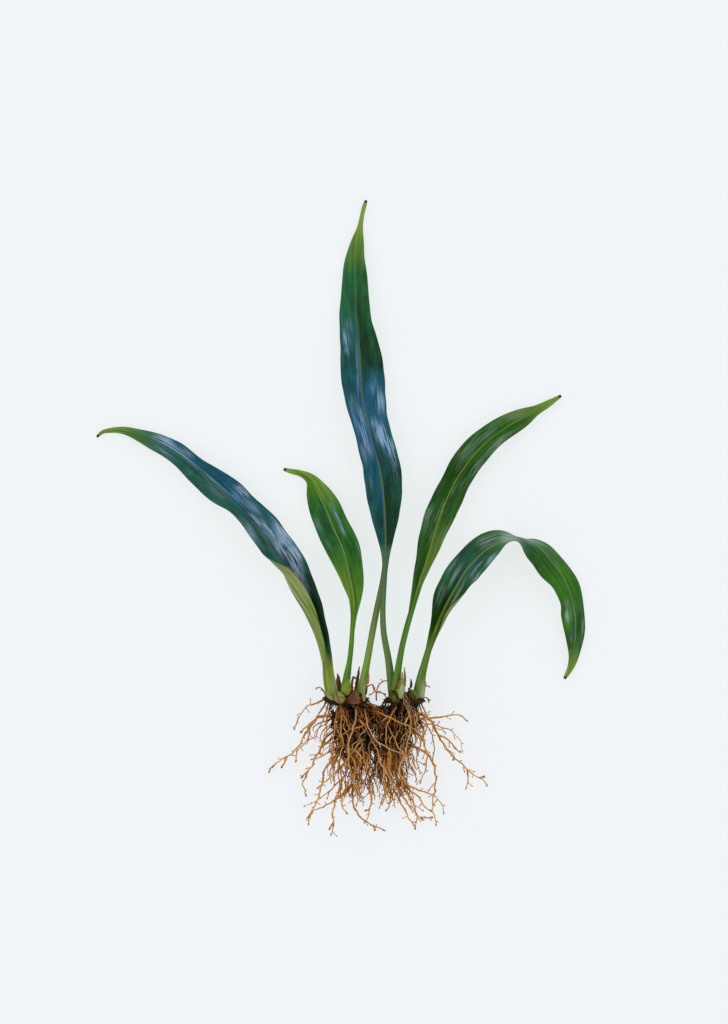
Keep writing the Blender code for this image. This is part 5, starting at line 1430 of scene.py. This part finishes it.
def skin_material(name, inner, outer, edge_colour, roughness, ribs):
    """Scale or bud skin: two colours along fine ribs, and another colour at the edges.

    tone holds how far a point is towards the outer colour, how pale it is, partly its own pale colour and
    partly a painted highlight, and its edge.
    """
    material, tree, shader = new_material(name)
    place, _ = mark(tree, "place")
    _, (outward, pale, edge) = mark(tree, "tone")
    stretched = add(tree, "VectorMath", (place, (ribs, 0.35, 1.0)), operation="MULTIPLY")
    rib = add(tree, "TexNoise", (stretched, 1.0, 4.0))
    where = add(tree, "TexCoord").outputs["Object"]
    blotch = add(tree, "TexNoise", (where, 0.5 / MM, 3.0))
    uneven = add(tree, "MapRange", (blotch, 0.3, 0.7, -0.25, 0.25))
    outward = add(tree, "Math", (outward, uneven), operation="ADD", use_clamp=True)
    colour = add(tree, "Mix", (outward, inner, outer))
    # Paleness is partly the skin's own pale colour and partly a painted highlight.
    colour = add(tree, "Mix", (pale, colour, "#D8D8B8"))
    line = add(tree, "MapRange", (rib, 0.35, 0.65, 0.55, 1.15))
    colour = add(tree, "Mix", (0.7, colour, line), blend_type="MULTIPLY")
    rim = add(tree, "MapRange", (edge, 0.8, 1.0, 0.0, 0.6))
    colour = add(tree, "Mix", (rim, colour, edge_colour))
    bump = add(tree, "Bump", {"Strength": 0.6, "Distance": 0.12 * MM, "Height": rib})
    set_inputs(tree, shader, {"Base Color": colour, "Roughness": roughness, "Specular IOR Level": 0.25,
                              "Normal": bump})
    return material


mossy_stem = stem_material("mossy_rhizome_bark")
dry_scale = skin_material("dry_papery_scale", "#4E2812", "#A8703C", "#B07A44", 0.72, 5.0)
bud_skin = skin_material("waxy_bud_skin", "#8CA628", "#9C6A40", "#6E4A1E", 0.45, 2.0)
mossy_bud = skin_material("dark_mossy_bud_skin", "#74841C", "#3A240A", "#241806", 0.65, 2.0)
red_scale = skin_material("red_brown_papery_scale", "#6E3426", "#C48E74", "#C49A80", 0.6, 4.0)
bract_paper = skin_material("brown_papery_bract", "#4A2208", "#B27C50", "#B88A60", 0.6, 4.0)
print("made:", [made.name for made in (mossy_stem, dry_scale, bud_skin, mossy_bud, red_scale, bract_paper)])


# %% Make the rhizomes and their coats
def coat_block(rings, place, edge, outer, pale, random):
    """A block of scales with their tones: each has its own place between the two browns."""
    own = random.uniform(-0.3, 0.4, (len(rings), 1, 1))
    tone = stacked(rings.shape[:3], np.clip(outer + own, 0, 1), pale, edge * 0.8)
    return rings, {"place": place, "tone": tone}


for number, (name, points) in enumerate(RHIZOMES.items()):
    random = np.random.default_rng(20 + number)
    stem = lumpy_tube(points, RHIZOME_ROWS, RHIZOME_SIDES, RHIZOME_DEPTH, random, 0.07)
    closed_piece(name + "_stem", [(stem[None], {})], mossy_stem, "rhizome_brown", name)
    rings, place, edge = coat(random, stem, COAT_SCALES, (0.9, 2.3))
    closed_piece(name + "_coat", [coat_block(rings, place, edge, 0.15, 0.0, random)], dry_scale,
                 "scale_brown")

# %% [markdown]
# ## Buds and sheaths
# A bud is a cone of overlapping scales. The core follows the solid model's own path
# and radius. Each scale is a patch of shell that hugs the core: it spans some angle
# round it, which shrinks to nothing at the scale's tip, and stands off it by a few
# tenths of a millimetre.

# %% Wrapped scales
BUD_ROWS = 22
BUD_SIDES = 22
WRAP_ROWS = 16
WRAP_POINTS = 11

BUDS = {
    "bud_left": [(-19.2, 20.4, 18.9, .5), (-20.4, 21, 19.3, .95), (-21.9, 22, 19.1, .8),
        (-23.6, 23, 18.6, .15)],
    "bud_round": [(-16.2, 19.2, 19.4, 1.2), (-16.5, 20.6, 20.1, 2.1), (-16.9, 22, 20.1, 1.9),
        (-17.1, 23.7, 19.6, .4)],
    "bud_front": [(-13.6, 22.2, 18.9, .9), (-14, 24.4, 18.9, 2), (-13.4, 26.8, 18.6, 1.45),
        (-12.6, 29.3, 18, .3)],
    "bud_hairy": [(-17, 22.8, 9.4, 1.3), (-17.3, 26.2, 9.6, 1.15), (-17.6, 29.2, 9.8, .6),
        (-17.8, 31.6, 10, .25)],
    "bud_small_tip": [(-6.2, 19.6, 18.2, .5), (-6.2, 21.4, 18.6, .9), (-6.4, 23.2, 18.2, .3)],
    "bud_pale": [(9.4, 20.8, 18.8, 1), (9.9, 24, 18.9, 1.85), (10.3, 27.4, 18.7, 1.05),
        (10.6, 30.4, 18.4, .5), (10.7, 32.4, 18, .2)],
    "bud_mossy": [(9, 19.4, 19, .8), (7.2, 21, 19.4, 1.9), (5.8, 22.8, 19, 1.6), (4.6, 23.8, 18.4, .3)],
    "bud_right": [(17, 20.4, 18.4, .7), (15.8, 21.8, 18.8, 1.6), (14.4, 23.6, 18.6, 1.3),
        (13.4, 25.4, 18, .3)],
}
# For each bud: its wrapped scales, and how brown and how pale its core is. A scale has its
# turn (0 left, 90 up, 180 right), start and end, half angle, lift, flare, brownness, paleness.
# Paleness is partly the skin's own pale colour and partly a painted highlight, as on the
# pale bud's core and its scale to the right.
BUD_LOOKS = {
    "bud_left": ([(90, .02, .8, 70, .1, .1, 0, .1), (200, 0, .55, 60, .14, .2, .6, 0)], (0, .1)),
    "bud_round": ([(10, 0, .9, 62, .4, .4, .8, .12), (95, 0, .34, 120, .3, .3, .75, .08),
        (250, 0, .5, 85, .1, .1, .8, 0)], (.1, .12)),
    "bud_front": ([(60, 0, .72, 75, .12, .1, -.15, 0), (150, 0, .55, 70, .15, .15, .1, 0)], (-.15, 0)),
    "bud_hairy": ([(60, 0, .8, 60, .1, .3, .3, 0), (140, .1, .9, 60, .15, .3, .1, 0),
        (100, .35, 1, 50, .1, .2, .6, 0)], (.1, 0)),
    "bud_small_tip": ([(90, 0, .6, 80, .08, .1, .1, .1)], (0, .15)),
    "bud_pale": ([(50, 0, .75, 62, .12, .05, -.1, .05), (125, 0, .6, 62, .16, .05, -.1, .5)], (-.1, .3)),
    "bud_mossy": ([(70, 0, .75, 60, .16, .15, .45, 0), (20, 0, .5, 60, .2, .2, .9, 0),
        (150, 0, .9, 40, .24, .2, .8, 0)], (.6, 0)),
    "bud_right": ([(40, 0, .8, 70, .16, .12, .65, 0), (150, 0, .6, 70, .12, .1, .05, 0)], (.3, 0)),
}

SCALES = {
    "scale_hook": [(-11.2, 22.6, 12, .8), (-11.4, 27.6, 11.6, .6), (-10.6, 30, 11.4, .5), (-9.6, 29, 11, .3)],
    "scale_tall": [(-9.8, 22.6, 9.6, 1), (-9.2, 28, 9.2, .8), (-8.6, 31.6, 9, .6), (-8.2, 34.6, 9, .2)],
    "scale_red": [(-4.6, 27, 15.6, .6), (-4.2, 29.8, 15.8, .5), (-4.2, 32.6, 15.4, .2)],
    "scale_dark": [(7.8, 24.8, 20.6, .5), (8.6, 27.6, 21.1, .6), (9.9, 31.2, 21, .2)],
    "scale_dry": [(11.6, 25.6, 15.2, .6), (11.8, 30, 15.4, .6), (11.5, 34.4, 15.2, .2)],
    "scale_stub": [(14.4, 25.2, 13, .6), (14.6, 27.2, 13.2, .6), (14.4, 29.2, 13.2, .2)],
}
# The bract is a fan: its apex and the two ends of its torn edge.
BRACT = [(-15.4, 18.6, 18.6), (-10.4, 24.6, 19.6), (-7.8, 18, 19.4)]
BRACT_SAG = 1.3
SCALE_FLATNESS = 0.32
# How far each is towards the lighter brown, and how pale.
SCALE_TONES = {
    "scale_hook": (.45, 0),
    "scale_tall": (.45, 0),
    "scale_red": (.3, 0),
    "scale_dark": (0, 0),
    "scale_dry": (.7, .1),
    "scale_stub": (.5, 0),
}


def wrapped_scale(points, turn, start, end, half_angle, lift, flare):
    """A patch of shell round a fat path, from share start to end, centred on the angle turn.

    Its half angle is half_angle * sqrt(1 - t^3) at the share t of its own length, it stands
    off the path's radius by lift, and its tip flares out by flare.
    """
    t = np.linspace(0.0, 0.985, WRAP_ROWS)
    path, length = even_path(points, start + (end - start) * t)
    _, _, left, up, _ = fat_path(points, WRAP_ROWS)
    half = half_angle * np.sqrt(1 - t**3)
    spread = np.linspace(-1.0, 1.0, WRAP_POINTS)
    angle = turn + half[:, None] * spread
    rib = 0.05 * np.cos(spread * 9.0)
    outer = path[:, 3:4] + lift + flare * t[:, None] ** 2 + rib * (1 - t[:, None])
    inner = outer - 0.14 - 0.1 * (1 - np.abs(spread))
    shell = [beside_path(path[:, :3], left, up, np.cos(angle) * radius, np.sin(angle) * radius)
             for radius in (outer, inner)]
    rings = np.concatenate((shell[0], shell[1][:, ::-1]), axis=1)
    around = np.concatenate((spread, spread[::-1]))
    edge = np.maximum(np.abs(around), t[:, None])
    place = stacked(rings.shape[:2], around * 2.0, t[:, None] * length * (end - start), 0.0)
    return rings[None], place[None], edge[None]


def bud_blocks(points, scales, random, core):
    """A bud's core and its wrapped scales, as blocks with tones."""
    core_rings = lumpy_tube(points, BUD_ROWS, BUD_SIDES, 1.0, random, 0.03)[None]
    shape = core_rings.shape[:3]
    t = np.linspace(0.0, 1.0, BUD_ROWS)[:, None]
    brown, pale = core
    place = stacked(shape, np.arange(BUD_SIDES) / 3.0, t * 8, 0.0)
    tone = stacked(shape, brown + 0.3 * ease(0.8, 1.0, t), pale * ease(0.1, 0.6, t), ease(0.7, 1.0, t))
    blocks = [(core_rings, {"place": place, "tone": tone})]
    for turn, start, end, half_angle, lift, flare, outer, light in scales:
        rings, place, edge = wrapped_scale(points, math.radians(turn), start, end, math.radians(half_angle),
                                           lift, flare)
        tone = stacked(edge.shape, outer + 0.25 * edge, light, edge)
        blocks.append((rings, {"place": place, "tone": tone}))
    return blocks


for number, (name, points) in enumerate(BUDS.items()):
    random = np.random.default_rng(60 + number)
    scales, core = BUD_LOOKS[name]
    finish = {"bud_mossy": mossy_bud, "bud_right": mossy_bud, "bud_hairy": dry_scale}.get(name, bud_skin)
    closed_piece(name + "_scaly", bud_blocks(points, scales, random, core), finish, "bud_green", name)

# %% [markdown]
# ## Dry scales, the papery bract and the sheaths
# The dry scales are pointed strips with a folded keel, ribbed along their length. The
# bract is a torn papery fan with ribs that spread from its apex.

# %% Strips and a fan with ribs
STRIP_ROWS = 30
STRIP_SIDES = 24
FAN_POINTS = 61


def ribbed_strip(points, flatness, ribs):
    """A flattened tube along a path with a half breadth; ribs and a ragged edge stand on it.

    At an angle a round it, a point is half cos a across and flatness half |sin a|^0.8 above or
    below; the ribs are a cosine of the place across, and the edges curl down by cos^2 a.
    """
    centre, half, left, up, length = fat_path(points, STRIP_ROWS)
    angle = np.arange(STRIP_SIDES) * (2 * math.pi / STRIP_SIDES)
    along = np.linspace(0.0, 1.0, STRIP_ROWS)[:, None]
    ragged = 0.9 + 0.13 * np.sin(along * 31 + 2 * np.cos(angle)) * np.abs(np.cos(angle))
    over = np.cos(angle) * half[:, None] * ragged
    thick = np.abs(np.sin(angle)) ** 0.8 * np.sign(np.sin(angle))
    rise = thick * half[:, None] * flatness * (1 + 0.16 * np.cos(np.cos(angle) * ribs))
    curl = 0.12 * half[:, None] * np.cos(angle) ** 2
    rings = beside_path(centre, left, up, over, rise - curl)
    shape = rings.shape[:2]
    edge = np.broadcast_to(np.abs(np.cos(angle)), shape)
    return rings[None], stacked(shape, over, along * length, 0.0)[None], edge[None]


def papery_fan(apex, left, right, sag):
    """A thin fan from its apex to a torn edge between left and right, which bulges by sag.

    At the share t from the apex and s (-1 to 1) across, a point is apex + t (edge(s) - apex); the
    edge is torn by waves in s that grow with t^3, and ribs of height 0.13 t cos(22 s) stand on it.
    """
    apex, left, right = (np.array(corner) for corner in (apex, left, right))
    t = np.linspace(0.04, 1.0, STRIP_ROWS)[:, None]
    s = np.linspace(-1.0, 1.0, FAN_POINTS)
    out = unit((left + right) / 2 - apex)
    edge = (left + right) / 2 + (right - left) / 2 * s[:, None] + out * sag * (1 - s[:, None] ** 2)
    torn = 0.09 * np.sin(s * 17 + 1) + 0.07 * np.sin(s * 41) - 0.06
    reach = t * (1 + torn * t**3)
    points = apex + reach[..., None] * (edge - apex)[None]
    height = 0.13 * t * np.cos(s * 22) + 0.9 * t * (1 - s**2) - 0.5 * t**3
    thick = 0.07 * (1 - 0.7 * s**8)
    up = np.array([0.0, 0.0, 1.0])
    faces = [points + (height + sign * thick)[..., None] * up for sign in (1, -1)]
    rings = np.concatenate((faces[0], faces[1][:, ::-1]), axis=1)
    around = np.concatenate((s, s[::-1]))
    rim = np.maximum(np.abs(around), 0.97 * t)
    return rings[None], stacked(rings.shape[:2], around * 3, t * 7, 0.0)[None], rim[None]


for number, (name, points) in enumerate(SCALES.items()):
    random = np.random.default_rng(80 + number)
    rings, place, edge = ribbed_strip(points, SCALE_FLATNESS, 4.0)
    outer, pale = SCALE_TONES[name]
    block = coat_block(rings, place, edge * 0.9, outer, pale, random)
    finish = red_scale if name in ("scale_red", "scale_dark") else dry_scale
    closed_piece(name + "_dry", [block], finish, "scale_brown", name)

random = np.random.default_rng(90)
rings, place, edge = papery_fan(*BRACT, BRACT_SAG)
ribs = 0.05 + 0.07 * place[..., 1] + 0.16 * np.cos(7.4 * place[..., 0])
block = coat_block(rings, place, edge, ribs, 0.0, random)
closed_piece("bract_papery_fan", [block], bract_paper, "scale_brown", "bract_papery")

# %% [markdown]
# ## Floor, light and camera
# The plant was photographed from above on a white ground. The camera is high and
# long, so the picture is almost without perspective. Four wide soft lights stand
# round the plant, the left one a little stronger, and a dim even world keeps the
# dark greens deep.

# %% Floor
FLOOR_HALF = 3.0
FLOOR_LEVEL = -0.6 * MM
# The floor is lit from below by this share, like a light table, so the shadows on it stay faint.
GLOW = 0.78
floor_mesh = bpy.data.meshes.new("floor")
corners = [(x * FLOOR_HALF, y * FLOOR_HALF, FLOOR_LEVEL) for x, y in ((-1, -1), (1, -1), (1, 1), (-1, 1))]
floor_mesh.from_pydata(corners, [], [(0, 1, 2, 3)])
floor = bpy.data.objects.new("floor", floor_mesh)
bpy.context.scene.collection.objects.link(floor)
paper, tree, shader = new_material("matt_white_paper")
set_inputs(tree, shader, {"Base Color": "#8D8F91", "Emission Color": "#F1F5F8", "Emission Strength": GLOW,
                          "Roughness": 0.95, "Specular IOR Level": 0.0})
floor_mesh.materials.append(paper)
print("floor of", 2 * FLOOR_HALF, "m")

# %% Light
WORLD_STRENGTH = 0.3
LIGHT_SIZE = 2.6
LIGHTS_AIM = (0.0, 0.1, 0.0)
# Name, place in metres and power in watts.
LIGHTS = [("left_light", (-1.8, 0.3, 1.8), 19.0), ("right_light", (1.8, 0.3, 1.8), 13.0),
          ("far_light", (0.0, 2.0, 1.8), 13.0), ("near_light", (0.0, -1.7, 1.8), 13.0)]
scene = bpy.context.scene
scene.view_settings.view_transform = "Standard"
world = bpy.data.worlds.new("studio")
world.use_nodes = True
set_inputs(world.node_tree, world.node_tree.nodes["Background"],
           {"Color": "#F6F6F4", "Strength": WORLD_STRENGTH})
scene.world = world
for name, place, power in LIGHTS:
    lamp = bpy.data.lights.new(name, "AREA")
    lamp.size = LIGHT_SIZE
    lamp.energy = power
    holder = bpy.data.objects.new(name, lamp)
    holder.location = place
    holder.rotation_euler = (Vector(LIGHTS_AIM) - Vector(place)).to_track_quat("-Z", "Y").to_euler()
    holder.visible_camera = False
    scene.collection.objects.link(holder)
print("lights:", len(LIGHTS))

# %% Camera
PIXEL = 0.44 * MM
PHOTO_WIDTH, PHOTO_HEIGHT = 728, 1024
ORIGIN_PIXEL = (352.1, 745.0)
camera_data = bpy.data.cameras.new("camera")
camera_data.lens = 300
camera_data.sensor_width = 36
camera_data.clip_end = 20
height = PHOTO_HEIGHT * PIXEL * camera_data.lens / camera_data.sensor_width
camera = bpy.data.objects.new("camera", camera_data)
camera.location = ((PHOTO_WIDTH / 2 - ORIGIN_PIXEL[0]) * PIXEL, (ORIGIN_PIXEL[1] - PHOTO_HEIGHT / 2) * PIXEL,
                   height + 8 * MM)
scene.collection.objects.link(camera)
scene.camera = camera
print("camera height in metres:", round(camera.location.z, 3))
